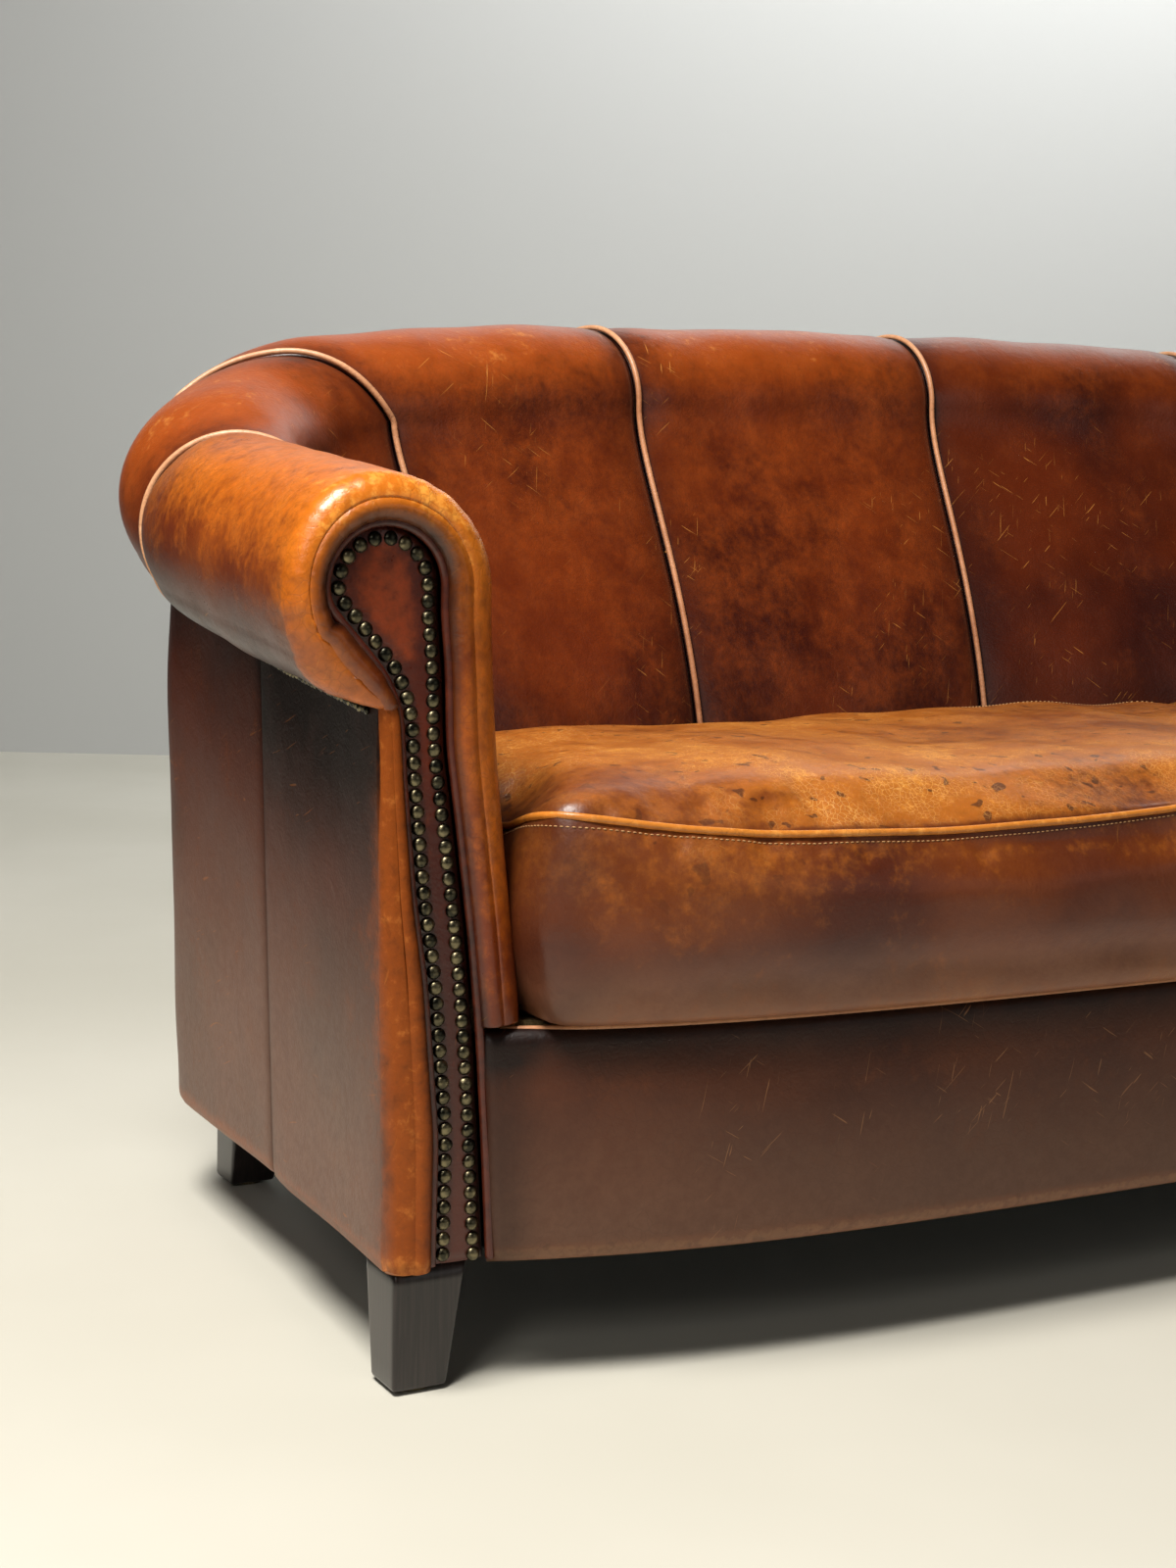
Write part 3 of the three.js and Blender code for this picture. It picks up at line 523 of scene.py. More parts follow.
def column(index, s):
    # monotone cubic through one column of the stations: height, front reach or rear reach
    x, y = tub["stations"][:, 0], tub["stations"][:, index]
    chord = np.diff(y) / np.diff(x)
    slope = np.zeros(len(x))
    product = chord[:-1] * chord[1:]
    slope[1:-1] = np.where(product > 0, 2 * product / np.where(product > 0, chord[:-1] + chord[1:], 1), 0)
    slope[-1] = chord[-1]
    at = np.clip(s, x[0], x[-1])
    i = np.clip(np.searchsorted(x, at, side="right") - 1, 0, len(x) - 2)
    step = x[i + 1] - x[i]
    t = (at - x[i]) / step
    return ((2 * t**3 - 3 * t**2 + 1) * y[i] + (t**3 - 2 * t**2 + t) * step * slope[i]
            + (3 * t**2 - 2 * t**3) * y[i + 1] + (t**3 - t**2) * step * slope[i + 1])


def rollFoot(s):
    # height at which the underside of the roll meets the cover
    return column(1, s) - tub["rollDepth"]


def crestPlan(s):
    # the crest from above: a wide arc, a tight arc at the corner, then a straight arm
    first, last = math.radians(tub["cornerStart"]), math.radians(tub["cornerEnd"])
    wide, tight = tub["backRadius"], tub["cornerRadius"]
    backLength, cornerLength = wide * first, tight * (last - first)
    onCorner = s > backLength
    angle = np.where(onCorner, np.minimum(first + (s - backLength) / tight, last), s / wide)
    middleY = tub["backMiddleY"] - wide
    radius, shift = np.where(onCorner, tight, wide), np.where(onCorner, wide - tight, 0)
    x = shift * math.sin(first) + radius * np.sin(angle)
    y = middleY + shift * math.cos(first) + radius * np.cos(angle)
    straight = np.maximum(0, s - backLength - cornerLength)
    return x + straight * np.cos(angle), y - straight * np.sin(angle), angle


def seatPlan(s):
    # where the inner face meets the seat: set in from the crest, with a Bezier round the inner corner
    def onBack(t):
        x, y, angle = crestPlan(t)
        return np.stack([x, y], -1) - tub["backSeatDepth"] * np.stack([np.sin(angle), np.cos(angle)], -1)

    def onArm(t):
        x, y, _ = crestPlan(t)
        return np.stack([x - tub["armSeatDepth"], y], -1)

    start, end = np.array([tub["innerCornerStart"], tub["innerCornerEnd"]], float)
    a, b = onBack(start), onArm(end)
    angle = crestPlan(start)[2]
    c = np.array([b[0], a[1] - (b[0] - a[0]) * math.tan(angle)])
    t = np.clip((s - start) / (end - start), 0, 1)[..., None]
    curve = (1 - t) ** 2 * a + 2 * t * (1 - t) * c + t * t * b
    point = np.where((s <= start)[..., None], onBack(s), np.where((s >= end)[..., None], onArm(s), curve))
    return point[..., 0], point[..., 1]


def outsideCover(x, y):
    # distance outside the outer cover's plan outline: two walls with a round corner
    dx = x - (tub["coverHalfWidth"] - tub["coverTaper"] * (y - tub["facingY"]) - tub["coverCorner"])
    dy = y - (tub["coverBackY"] - tub["coverBackCurve"] * x * x - tub["coverCorner"])
    return np.where((dx > 0) & (dy > 0), np.hypot(dx, dy), np.maximum(dx, dy)) - tub["coverCorner"]


def planes(s):
    # the upright plane of each station: crest point, outward direction, depth of the seat, reach of the cover
    x, y, _ = crestPlan(s)
    seatX, seatY = seatPlan(s)
    depth = np.hypot(x - seatX, y - seatY)
    dx, dy = (x - seatX) / depth, (y - seatY) / depth
    low, high = np.full_like(x, -30), np.full_like(x, 200)
    for _ in range(30):
        middle = (low + high) / 2
        inside = outsideCover(x + dx * middle, y + dy * middle) < 0
        low, high = np.where(inside, middle, low), np.where(inside, high, middle)
    return {"x": x, "y": y, "dx": dx, "dy": dy, "depth": depth, "cover": low}


def inPlace(s, u, z, side):
    # a point u outward from the crest and z up, on the left (side 1) or right (side -1)
    p = planes(s)
    return np.stack(np.broadcast_arrays(side * (p["x"] + p["dx"] * u), p["y"] + p["dy"] * u, z), -1)


seams = tub["seams"]
# shares of the profile at which the inner face ends and the roll ends, and the roll's last angle in degrees
faceShare, rollShare, rollEnd = 0.42, 0.90, -32.0


def rollTurn(t):
    # angle round the roll, from 180 at its inside over 90 at the crest
    return 180 + (rollEnd - 180) * np.clip((t - faceShare) / (rollShare - faceShare), 0, 1)


def bezier(t, *points):
    # cubic Bezier of four scalars or arrays
    a, b, c, d = points
    return (1 - t) ** 3 * a + 3 * t * (1 - t) ** 2 * b + 3 * t * t * (1 - t) * c + t**3 * d


def leatherProfile(s, t):
    # the leather from the seat (t 0) up the inner face, over the roll and under it to the cover (t 1)
    p = planes(s)
    crest, front, rear = column(1, s), column(2, s), column(3, s)
    half = tub["rollHalfHeight"]
    centre, seat, foot = crest - half, p["depth"], tub["padFoot"]
    lean = (seat - tub["armSeatDepth"]) / (tub["backSeatDepth"] - tub["armSeatDepth"])
    b = np.clip(t / faceShare, 0, 1)
    firstHandle = foot + (centre - foot) * (0.1 + 0.45 * lean)
    lastHandle = foot + (centre - foot) * (0.6 + 0.25 * lean)
    faceU, faceZ = bezier(b, -seat, -seat, -front, -front), bezier(b, foot, firstHandle, lastHandle, centre)
    angle = np.radians(rollTurn(t))
    reach = np.where(angle > np.pi / 2, front, rear)
    rollU, rollZ = reach * np.cos(angle), centre + half * np.sin(angle)
    end = math.radians(rollEnd)
    k = np.clip((t - rollShare) / (1 - rollShare), 0, 1)
    endU, endZ = rear * math.cos(end), centre + half * math.sin(end)
    # under the roll, a quadratic curve to the cover
    gapZ = endZ - rollFoot(s)
    midU, midZ = endU + 0.45 * gapZ * math.sin(end) * rear / half, endZ - 0.75 * gapZ
    underU = (1 - k) ** 2 * endU + 2 * k * (1 - k) * midU + k * k * (p["cover"] + 1)
    underZ = (1 - k) ** 2 * endZ + 2 * k * (1 - k) * midZ + k * k * rollFoot(s)
    u = np.where(t < faceShare, faceU, np.where(t < rollShare, rollU, underU))
    z = np.where(t < faceShare, faceZ, np.where(t < rollShare, rollZ, underZ))
    return u, z


slant = {"depth": 150, "turn": 45, "atRoll": 0.875}


def slanted(s, t):
    # round the corners a channel's own station is drawn back below the crest, fully at the seat:
    # s - depth * rise(s) * share(t)
    rise = np.where(s < seams[2], smoothStep(seams[1], seams[2], s), 1 - smoothStep(seams[2], seams[3], s))
    onRoll = slant["atRoll"] * np.clip((rollTurn(t) - slant["turn"]) / (180 - slant["turn"]), 0, 1)
    share = np.where(t < faceShare, 1 - (1 - slant["atRoll"]) * t / faceShare, onRoll)
    return s - slant["depth"] * rise * share


def clustered(start, end, count):
    # values packed closer towards both ends
    return start + (end - start) * (0.5 - 0.5 * np.cos(np.pi * np.linspace(0, 1, count)))


# Channels of the back and corners
channel = {"puff": 5.0, "groove": 3.0, "grooveWidth": 4.0, "shoulder": 26.0, "halfSlot": 1.3, "wall": 5.0,
           "across": 64, "along": 120, "waver": 0.9}


def realSpacing(s):
    # how far apart the seat points lie for each mm along the crest
    x, y = seatPlan(s + 1.0)
    x0, y0 = seatPlan(s - 1.0)
    return np.hypot(x - x0, y - y0) / 2


def puffed(grid, fromSeam, seed):
    # each channel stands proud in its middle and dives into the seam at its sides
    bulge = channel["puff"] * (1 - np.exp(-fromSeam / channel["shoulder"]))
    dive = channel["groove"] * np.exp(-((fromSeam / channel["grooveWidth"]) ** 2))
    waver = channel["waver"] * undulate(grid, 120, seed) * smoothStep(0, 40, fromSeam)
    return grid + gridNormals(grid) * (bulge - dive + waver - channel["puff"] * 0.55)[..., None]


def makeChannel(name, start, end, side, seed, shade=0.0):
    s = clustered(start, end, channel["across"])[:, None]
    t = np.linspace(0.0, 1.0, channel["along"])[None, :]
    both, t = np.broadcast_arrays(np.abs(s), t)
    at = slanted(both, t)
    grid = inPlace(at, *leatherProfile(at, t), np.where(s < 0, -1, 1) * side)
    # seams run closer together towards the seat
    onFace = 1 - smoothStep(0.2, 0.5, t)
    ratio = np.clip(realSpacing(both), 0.3, 1.0) * onFace + 1 - onFace
    fromSeam = np.minimum(np.abs(s - start), np.abs(end - s)) * ratio + channel["halfSlot"] * 0.4
    if side < 0:
        grid, fromSeam = grid[::-1], fromSeam[::-1]
    grid = puffed(grid, fromSeam, seed)
    high = grid[..., 2]
    crestLine = smoothStep(0.40, 0.56, t) * (1 - smoothStep(0.74, 0.95, t))
    # dirt and painted shade beside the seams; painted shade in the grooves, under the roll and over a whole
    # channel by its shade value, which also takes off rub; a little darker lower down. The paler crest is
    # wear.
    values = {
        "grime_and_shade": 0.65 * np.exp(-fromSeam / 6) + 0.45 * np.exp(-fromSeam / 34) * (1 - 0.6 * crestLine)
                 + 0.15 * smoothStep(500, 430, high) + 0.25 * smoothStep(0.9, 1.0, t) + shade,
        "rub": 0.36 + 0.34 * crestLine * smoothStep(4, 60, fromSeam) - 0.06 * smoothStep(640, 480, high)
               - shade,
        "low": 0,
    }
    piece = shell(name + "_channel", grid, channel["wall"], values)
    place(piece, "tub_leather", leatherFinish["tub"], name + "_pad")


slot = channel["halfSlot"]
# the middle channel is painted darker all over: painted shade
makeChannel("back_middle", slot - seams[0], seams[0] - slot, 1, 11, 0.16)
for label, side in (("left", 1), ("right", -1)):
    for number, name in enumerate(("back_inner", "back_outer", "corner")):
        start, end = seams[number] + slot, seams[number + 1] - slot
        makeChannel(f"{label}_{name}", start, end, side, 20 + number + 5 * side)


# Pipings between the channels
piping = {"radius": 2.7, "proud": 0.6}
for label, side in (("left", 1), ("right", -1)):
    for s, name in zip(seams, ("back_inner", "back_outer", "corner", "arm")):
        t = np.linspace(0.0, 0.985, 150)
        at = slanted(np.full_like(t, s), t)
        path = inPlace(at, *leatherProfile(at, t), side)
        beside = inPlace(at + 1, *leatherProfile(at + 1, t), side)
        normals = unit(np.cross(np.gradient(path, axis=0), beside - path)) * -side
        # paler over the roll from wear; darker towards the seat: dirt and painted shade where it meets the
        # cushion
        rub, grime_and_shade = 0.45 + 0.3 * smoothStep(0.4, 0.6, t), 0.45 * smoothStep(0.25, 0, t)
        cord = cordMesh(f"{label}_{name}_cord", path + normals * piping["proud"], normals, piping["radius"],
                        {"rub": rub, "grime_and_shade": grime_and_shade, "low": 0})
        place(cord, "piping_leather", leatherFinish["piping"], f"{label}_{name}_piping")
print("back made")


# Arm fronts: the keyhole line of the facing
# in the plane of the arm front: x and height in mm, for the left side
keyhole = {
    "head": (1066, 574), "radius": 48,
    "outside": [(1030, 96), (1029, 190), (1039, 302), (1048, 359),
                (1056, 440), (1059, 488), (1069, 512), (1090, 536)],
    "inside": [(1019, 560), (1015, 520), (1013, 464), (1005, 408),
               (995, 333), (988, 265), (983, 197), (977, 96)],
    "front": -332,
}


def keyholeLine(inset, spacing=2.0):
    # up the outside, over the round head, down the inside; then moved in by `inset`
    turn = np.radians(np.linspace(-16, 176, 40))
    head = keyhole["head"] + keyhole["radius"] * np.stack([np.cos(turn), np.sin(turn)], -1)
    line = softPath(np.concatenate([keyhole["outside"], head, keyhole["inside"]]), spacing, int(60 / spacing))
    tangent = unit(np.gradient(line, axis=0))
    return line + inset * np.stack([-tangent[:, 1], tangent[:, 0]], -1)


def splitKeyhole(line):
    # the line's outside and inside as x by height, up to the head's widest points
    top = np.argmax(line[:, 1])
    return line[:top + 1], line[top:][::-1]


def onStem(half, z):
    # x of one half of the keyhole at each height
    return np.interp(z, np.maximum.accumulate(half[:, 1]), half[:, 0])


armFront = {"round": 17.0, "bulge": 4.0, "tuck": 9.0, "wall": 5.0, "gathers": 0.35, "neck": 491, "puff": 4.0,
            "closeShare": 0.35, "steps": 34, "roundSteps": 12}


def frontWrap(edge, target):
    # from the arm's edge, round on to its front face, then across to the keyhole and down into its groove
    reach = np.linalg.norm(target - edge, axis=-1)[:, None, None]
    radius = np.minimum(armFront["round"], reach * 0.55)
    rise = np.radians(np.linspace(0, 90, armFront["roundSteps"]))[None, :, None]
    across = np.linspace(0, 1, armFront["steps"] - armFront["roundSteps"] + 1)[1:][None, :, None]
    away = np.concatenate([radius * (1 - np.cos(rise)), radius + (reach - radius) * across], 1)
    swell = armFront["bulge"] * np.sin(np.pi * across) ** 2 * np.minimum(1, reach / 40)
    tuck = armFront["tuck"] * smoothStep(0.78, 1.0, across) ** 2
    depth = keyhole["front"] + np.concatenate([radius * (1 - np.sin(rise)), tuck - swell], 1)
    inPlane = edge[:, None] + (target - edge)[:, None] / reach * away
    return np.concatenate([inPlane[..., :1], depth, inPlane[..., 1:]], -1), radius[:, 0]


def carriedOver(body, target, fromSeam, beyond):
    # a panel stretched along the arm to end where its rounding starts, with its wrap over the front; then
    # each point's share on the front, how far across the front it is, and its distance from the seam
    wrap, radius = frontWrap(body[:, -1][:, [0, 2]], target)
    back = body[:, :1, 1]
    share = (body[..., 1] - back) / (body[:, -1:, 1] - back)
    body[..., 1] = back + share * (keyhole["front"] + radius - back)
    wrap = wrap[:, 1:]
    none = np.zeros(body.shape[:2])
    onFront = np.concatenate([none, np.ones(wrap.shape[:2])], 1)
    across = np.concatenate([none, np.broadcast_to(np.linspace(0, 1, wrap.shape[1]), wrap.shape[:2])], 1)
    fromSeam = np.pad(fromSeam, ((0, 0), (0, wrap.shape[1])), constant_values=beyond)
    return np.concatenate([body, wrap], 1), onFront, across, fromSeam


def makeArm(label, side):
    # rows follow the profile from the seat round the roll; columns run along the arm and over its front edge
    t = np.linspace(0.0, 1.0, 170)
    start, end = seams[3] + channel["halfSlot"], tub["crestLength"]
    first = (end - start) * armFront["closeShare"]
    quarter = np.linspace(0, np.pi / 2, 60)[:-1]
    run = start + np.concatenate([first * (1 - np.cos(quarter)), np.linspace(first, end - start, 40)])
    s, rise = np.meshgrid(run, t)
    body = inPlace(s, *leatherProfile(s, rise), 1)

    # where each row ends on the front: along the keyhole's inside, round its head, then down its neck
    outside, inside = splitKeyhole(keyholeLine(0))
    edgeZ = body[:, -1, 2]
    angle = np.radians(rollTurn(t))
    head = keyhole["head"] + keyhole["radius"] * np.stack([np.cos(angle), np.sin(angle)], -1)
    neckZ = head[-1, 1] + (armFront["neck"] - head[-1, 1]) * np.clip((t - rollShare) / (1 - rollShare), 0, 1)
    onInside = np.stack([onStem(inside, edgeZ), edgeZ], -1)
    onNeck = np.stack([onStem(outside, neckZ), neckZ], -1)
    target = np.where((t < faceShare)[:, None], onInside, np.where((t < rollShare)[:, None], head, onNeck))
    grid, onFront, across, fromSeam = carriedOver(body, target, s - start, end - start)
    fromSeam = fromSeam + 0.5

    # flat beside the seam and the front edge, puffed between, with short pleats round the head of the roll
    t = t[:, None]
    fade = smoothStep(0, 60, np.abs(body[:, -1:, 1] - grid[..., 1])) * (1 - onFront)
    puff = 0.8 * undulate(grid, 110, 41) - armFront["puff"] * np.exp(-fromSeam / channel["shoulder"])
    dive = channel["groove"] * np.exp(-((fromSeam / channel["grooveWidth"]) ** 2))
    nearEdge = np.exp(-((grid[..., 1] - (keyhole["front"] + 12)) / 26.0) ** 2)
    pleats = np.sin(t * 330 + 5 * np.sin(t * 41)) * smoothStep(0.45, 0.55, t)
    gather = armFront["gathers"] * nearEdge * pleats
    grid = grid - gridNormals(grid) * (puff * fade - dive + gather)[..., None]
    grid[..., 0] *= side

    frontEdge = np.exp(-(np.maximum(0, grid[..., 1] - (keyhole["front"] + 2)) / 24.0))
    crestLine = smoothStep(0.36, 0.52, t) * (1 - smoothStep(0.70, 0.86, t))
    beside = 1 - 0.8 * smoothStep(0.3, 0.9, across)
    # paler on the crest and the front edge from wear; dirt and painted shade beside the seam; painted shade
    # under the roll, at the seat and where the front turns into the groove by the welt; under the roll low
    # paints a reflection of the floor
    values = {
        "rub": 0.20 + 0.34 * crestLine + 0.30 * frontEdge * smoothStep(0.02, 0.3, t) * beside,
        "grime_and_shade": 0.8 * np.exp(-fromSeam / 6) + 0.4 * np.exp(-fromSeam / 45)
                 + 0.85 * smoothStep(0.80, 0.96, t) * (1 - onFront)
                 + 0.95 * smoothStep(0.70 - 0.4 * smoothStep(0.3, 0.5, t), 1.0, across)
                 + 0.35 * smoothStep(0.1, 0.0, t),
        "low": 0.15 * smoothStep(0.72, 0.9, t) * (1 - onFront),
    }
    piece = shell(f"{label}_arm_roll", grid, armFront["wall"], values, side < 0)
    place(piece, "tub_leather", leatherFinish["arm"], f"{label}_arm_pad", f"{label}_arm_front_rim")


# Outer covers
cover = {"wall": 4.0, "foldRadius": 7.0, "seams": (520, 1258), "slot": 0.8, "sideTop": 496, "underRoll": 3}


def coverProfile(s, v):
    # v 0 under the roll, v 1 at the foot, then folded under; the cover leans in towards the floor
    top = rollFoot(s) + cover["underRoll"]
    fold = cover["foldRadius"]
    fall = np.clip(v / 0.94, 0, 1)
    turn = np.radians(90) * np.clip((v - 0.94) / 0.04, 0, 1)
    tuck = np.clip((v - 0.98) / 0.02, 0, 1)
    z = top + (tub["baseHeight"] + fold - top) * fall - fold * np.sin(turn)
    u = planes(s)["cover"] - tub["coverLean"] * fall ** 1.1 - fold * (1 - np.cos(turn)) - 12 * tuck
    return u, z


def makeCover(name, start, end, side, seed):
    s = clustered(start, end, 110)[:, None]
    v = np.concatenate([np.linspace(0, 0.94, 60), np.linspace(0.94, 1, 14)[1:]])[None, :]
    both, v = np.broadcast_arrays(np.abs(s), v)
    grid = inPlace(both, *coverProfile(both, v), np.where(s < 0, -1, 1) * side)
    fromSeam = np.minimum(s - start, end - s)
    swell = 1.6 * undulate(grid, 210, seed) * smoothStep(0, 60, fromSeam) * smoothStep(0, 0.2, 1 - v)
    grid = grid + side * gridNormals(grid) * (swell - 2.2 * np.exp(-fromSeam / 5))[..., None]
    # low down a painted reflection of the bright floor greys it; dirt and painted shade by the seams; painted
    # shadow of the roll along the top; the foot is worn paler
    values = {
        "low": 0.5 * smoothStep(470, 150, grid[..., 2]),
        "grime_and_shade": 0.7 * np.exp(-fromSeam / 4) + 0.75 * smoothStep(0.16, 0.0, v),
        "rub": 0.12 + 0.6 * smoothStep(112, 98, grid[..., 2]),
    }
    piece = shell(name + "_leather", grid, cover["wall"], values)
    place(piece, "tub_leather", leatherFinish["side"], name)


def makeSide(label, side):
    # the side panel: from its upright seam forward, then round the front edge to the welt
    base, front = tub["baseHeight"], keyhole["front"]
    start = cover["seams"][1] + cover["slot"]
    heights = np.append(base, np.linspace(base + 2, cover["sideTop"], 90))
    s, high = np.meshgrid(clustered(start, tub["crestLength"], 70), heights)
    top = rollFoot(s) + cover["underRoll"]
    v = np.clip(1 - (high - base) / (cover["sideTop"] - base), 0, 1)
    body = inPlace(s, planes(s)["cover"] - tub["coverLean"] * v ** 1.1, top - (top - base) * v, 1)
    outside, _ = splitKeyhole(keyholeLine(0))
    edgeZ = body[:, -1, 2]
    target = np.stack([onStem(outside, edgeZ), edgeZ], -1)
    grid, onFront, across, fromSeam = carriedOver(body, target, s - start, 250.0)
    swell = 1.4 * undulate(grid, 180, 77) * (1 - onFront) * smoothStep(0, 60, fromSeam)
    grid = grid + gridNormals(grid) * (swell - 2.2 * np.exp(-fromSeam / 5))[..., None]
    # the foot folds under
    grid[0, :, 0] -= 6 * (1 - onFront[0])
    grid[0, :, 1] += 6 * onFront[0]
    high = grid[..., 2]
    frontEdge = np.exp(-(np.maximum(0, grid[..., 1] - (front + 4)) / 15.0))
    # low down a painted reflection of the bright floor greys it, less so at the front edge; the front edge
    # and the foot are worn paler; dirt and painted shade by the seam; painted shadow of the roll along the
    # top, painted shade in the groove by the welt
    values = {
        "low": 0.5 * smoothStep(440, 150, high) * (1 - 0.95 * frontEdge),
        "rub": 0.10 + 0.58 * frontEdge * (1 - 0.4 * smoothStep(0.5, 1.0, across))
               + 0.5 * smoothStep(110, 97, high),
        "grime_and_shade": 0.7 * np.exp(-fromSeam / 4) + 0.95 * smoothStep(330, 480, high) * (1 - onFront)
                 + 0.9 * smoothStep(0.7, 1.0, across),
    }
    grid[..., 0] *= side
    piece = shell(f"{label}_outer_arm_leather", grid, cover["wall"], values)
    place(piece, "tub_leather", leatherFinish["side"], f"{label}_outer_arm")


# Facing: the panel in the keyhole, its welt and its nails
facing = {"weltInset": 3.6, "weltRadius": 3.3, "panelInset": 6.5, "panelDepth": 8.0, "dome": 3.0, "wall": 2.5,
          "nailInset": 14.5, "nailPitch": 11.4, "nailRadius": 5.4, "nailHeight": 3.6}


def makeFacing(label, side):
    line = keyholeLine(facing["panelInset"])
    outside, inside = splitKeyhole(line)
    base = tub["baseHeight"]
    height = base + 1 + (line[:, 1].max() - base - 1.2) * np.sin(np.linspace(0, np.pi / 2, 110))[:, None]
    far, near = onStem(outside, height), onStem(inside, height)
    across = np.linspace(0, 1, 26)[None, :]
    width = far - near
    rise = facing["dome"] * np.sin(np.pi * across) * np.minimum(1, np.abs(width) / 60)
    places = side * (near + width * across), keyhole["front"] + facing["panelDepth"] - rise, height
    grid = np.stack(np.broadcast_arrays(*places), -1)
    fromEdge = np.minimum(across, 1 - across) * np.abs(width)
    # dirt and painted shade along the edges, where the panel sits in behind the welt, and darker towards the
    # foot; paler at the head; low down a painted reflection of the floor greys it
    values = {
        "grime_and_shade": 0.9 * np.exp(-fromEdge / 5) + 0.25 * smoothStep(400, 120, height),
        "rub": 0.15 + 0.35 * smoothStep(470, 540, height) * smoothStep(12, 30, fromEdge),
        "low": 0.25 * smoothStep(330, 120, height),
    }
    panel = shell(f"{label}_facing_panel", grid, facing["wall"], values, side > 0)
    place(panel, "tub_leather", leatherFinish["facing"], f"{label}_facing")

    def inFront(points, y):
        return np.stack([side * points[:, 0], np.full(len(points), y), points[:, 1]], -1)

    towards = np.array([0.0, -1.0, 0.0])
    path = inFront(keyholeLine(facing["weltInset"]), keyhole["front"] + 1.8)
    welt = cordMesh(f"{label}_facing_cord", path, np.broadcast_to(towards, path.shape), facing["weltRadius"],
                    {"rub": 0.35, "grime_and_shade": 0.2, "low": 0})
    place(welt, "welt_leather", leatherFinish["welt"], f"{label}_facing_welt")

    line = inFront(keyholeLine(facing["nailInset"]), keyhole["front"] + facing["panelDepth"] - 1.6)
    centres = evenly(line, facing["nailPitch"])
    nails = repeatShape(f"{label}_facing_nail_heads", dome(14, 4, facing["nailRadius"], facing["nailHeight"]),
                        centres, np.broadcast_to(towards, centres.shape), 0.10, 5 + side)
    place(nails, "nail_brass", brass, f"{label}_facing_nails")


# Small nails and gimp under the roll
underRoll = {"pitch": 7.0, "radius": 3.5, "height": 2.4, "below": 9.0, "proud": 2.5}


def makeUnderRoll(label, side):
    s = np.linspace(seams[3] + 26, tub["crestLength"] - 8, 160)
    reach, height = planes(s)["cover"] + underRoll["proud"], rollFoot(s) - underRoll["below"]
    path = inPlace(s, reach, height, side)
    out = unit(inPlace(s, reach + 1, height, side) - path)
    tape = cordMesh(f"{label}_roll_gimp", path, out, 2.4, {"rub": 0, "grime_and_shade": 0.8, "low": 0}, 8)
    place(tape, "welt_leather", leatherFinish["welt"])
    centres = evenly(path, underRoll["pitch"])
    normals = np.stack([np.interp(centres[:, 1], path[::-1, 1], out[::-1, k]) for k in range(3)], -1)
    stud = dome(10, 3, underRoll["radius"], underRoll["height"], 1.4)
    studs = repeatShape(f"{label}_roll_nail_heads", stud, centres, unit(normals), 0.15, 15 + side)
    place(studs, "nail_brass", brass, f"{label}_roll_nails")


for label, side in (("left", 1), ("right", -1)):
    makeArm(label, side)
    makeFacing(label, side)
    makeSide(label, side)
    makeUnderRoll(label, side)
    makeCover(f"{label}_outer_back", cover["seams"][0] + cover["slot"], cover["seams"][1] - cover["slot"],
              side, 60 + side)
makeCover("outer_back_middle", cover["slot"] - cover["seams"][0], cover["seams"][0] - cover["slot"], 1, 63)
print("arms and covers made")


# Bow front
bow = {"front": -385, "setback": 17, "half": 810, "power": 6.6, "halfWidth": 973, "top": 258, "fold": 8.0,
       "foldShare": 0.12, "wall": 4.0}


def bowY(x):
    # front + setback |x / half|^power, no further back than the arm fronts
    return np.minimum(bow["front"] + bow["setback"] * np.abs(x / bow["half"]) ** bow["power"], tub["facingY"])


def makeApron():
    # v falls from 0 at the top edge to 1 at the foot, with a quarter-round fold beyond each
    x = np.linspace(-bow["halfWidth"], bow["halfWidth"], 260)
    turned = np.linspace(0, bow["foldShare"], 9)[1:]
    x2, v = np.meshgrid(x, np.concatenate([-turned[::-1], np.linspace(0, 1, 34), 1 + turned]), indexing="ij")
    fold, high, base = bow["fold"], bow["top"], tub["baseHeight"]
    turnTop, turnFoot = (np.clip(past / bow["foldShare"], 0, 1) * np.pi / 2 for past in (-v, v - 1))
    fall = np.clip(v, 0, 1)
    z = high - fold + (base + 2 * fold - high) * fall + fold * (np.sin(turnTop) - np.sin(turnFoot))
    inward = fold * (2 - np.cos(turnTop) - np.cos(turnFoot)) - 3.0 * np.sin(np.pi * fall)
    grid = np.stack([x2, bowY(x2) + inward, z], -1)
    grid[..., 1] -= 1.3 * undulate(grid, 160, 91) * np.sin(np.pi * fall)
    # the two ends run up beside the welts of the arm fronts
    _, inside = splitKeyhole(keyholeLine(0))
    stretch = (onStem(inside, z) + 1.5 - bow["halfWidth"]) * smoothStep(900, 972, np.abs(x2))
    grid[..., 0] += np.sign(x2) * stretch
    # the foot is worn paler; low down a painted reflection of the floor greys it; painted shadow of the
    # overhanging cushion darkens the top, and painted shade the ends beside the welts
    values = {
        "rub": 0.15 + 0.95 * smoothStep(109, 98, z),
        "low": 0.75 * smoothStep(235, 110, z),
        "grime_and_shade": 0.95 * smoothStep(215, 262, z) + 0.5 * smoothStep(940, 972, np.abs(grid[..., 0])),
    }
    place(shell("apron_leather", grid, bow["wall"], values), "tub_leather", leatherFinish["apron"], "apron")
    line = np.stack([x, bowY(x) + 3, np.full(len(x), bow["top"] + 2.6)], -1)
    edge = cordMesh("apron_cord", line, np.broadcast_to([0.0, -0.7, 0.7], line.shape), 2.5,
                    {"rub": 0.5, "grime_and_shade": 0, "low": 0})
    place(edge, "piping_leather", leatherFinish["piping"], "apron_piping")


makeApron()


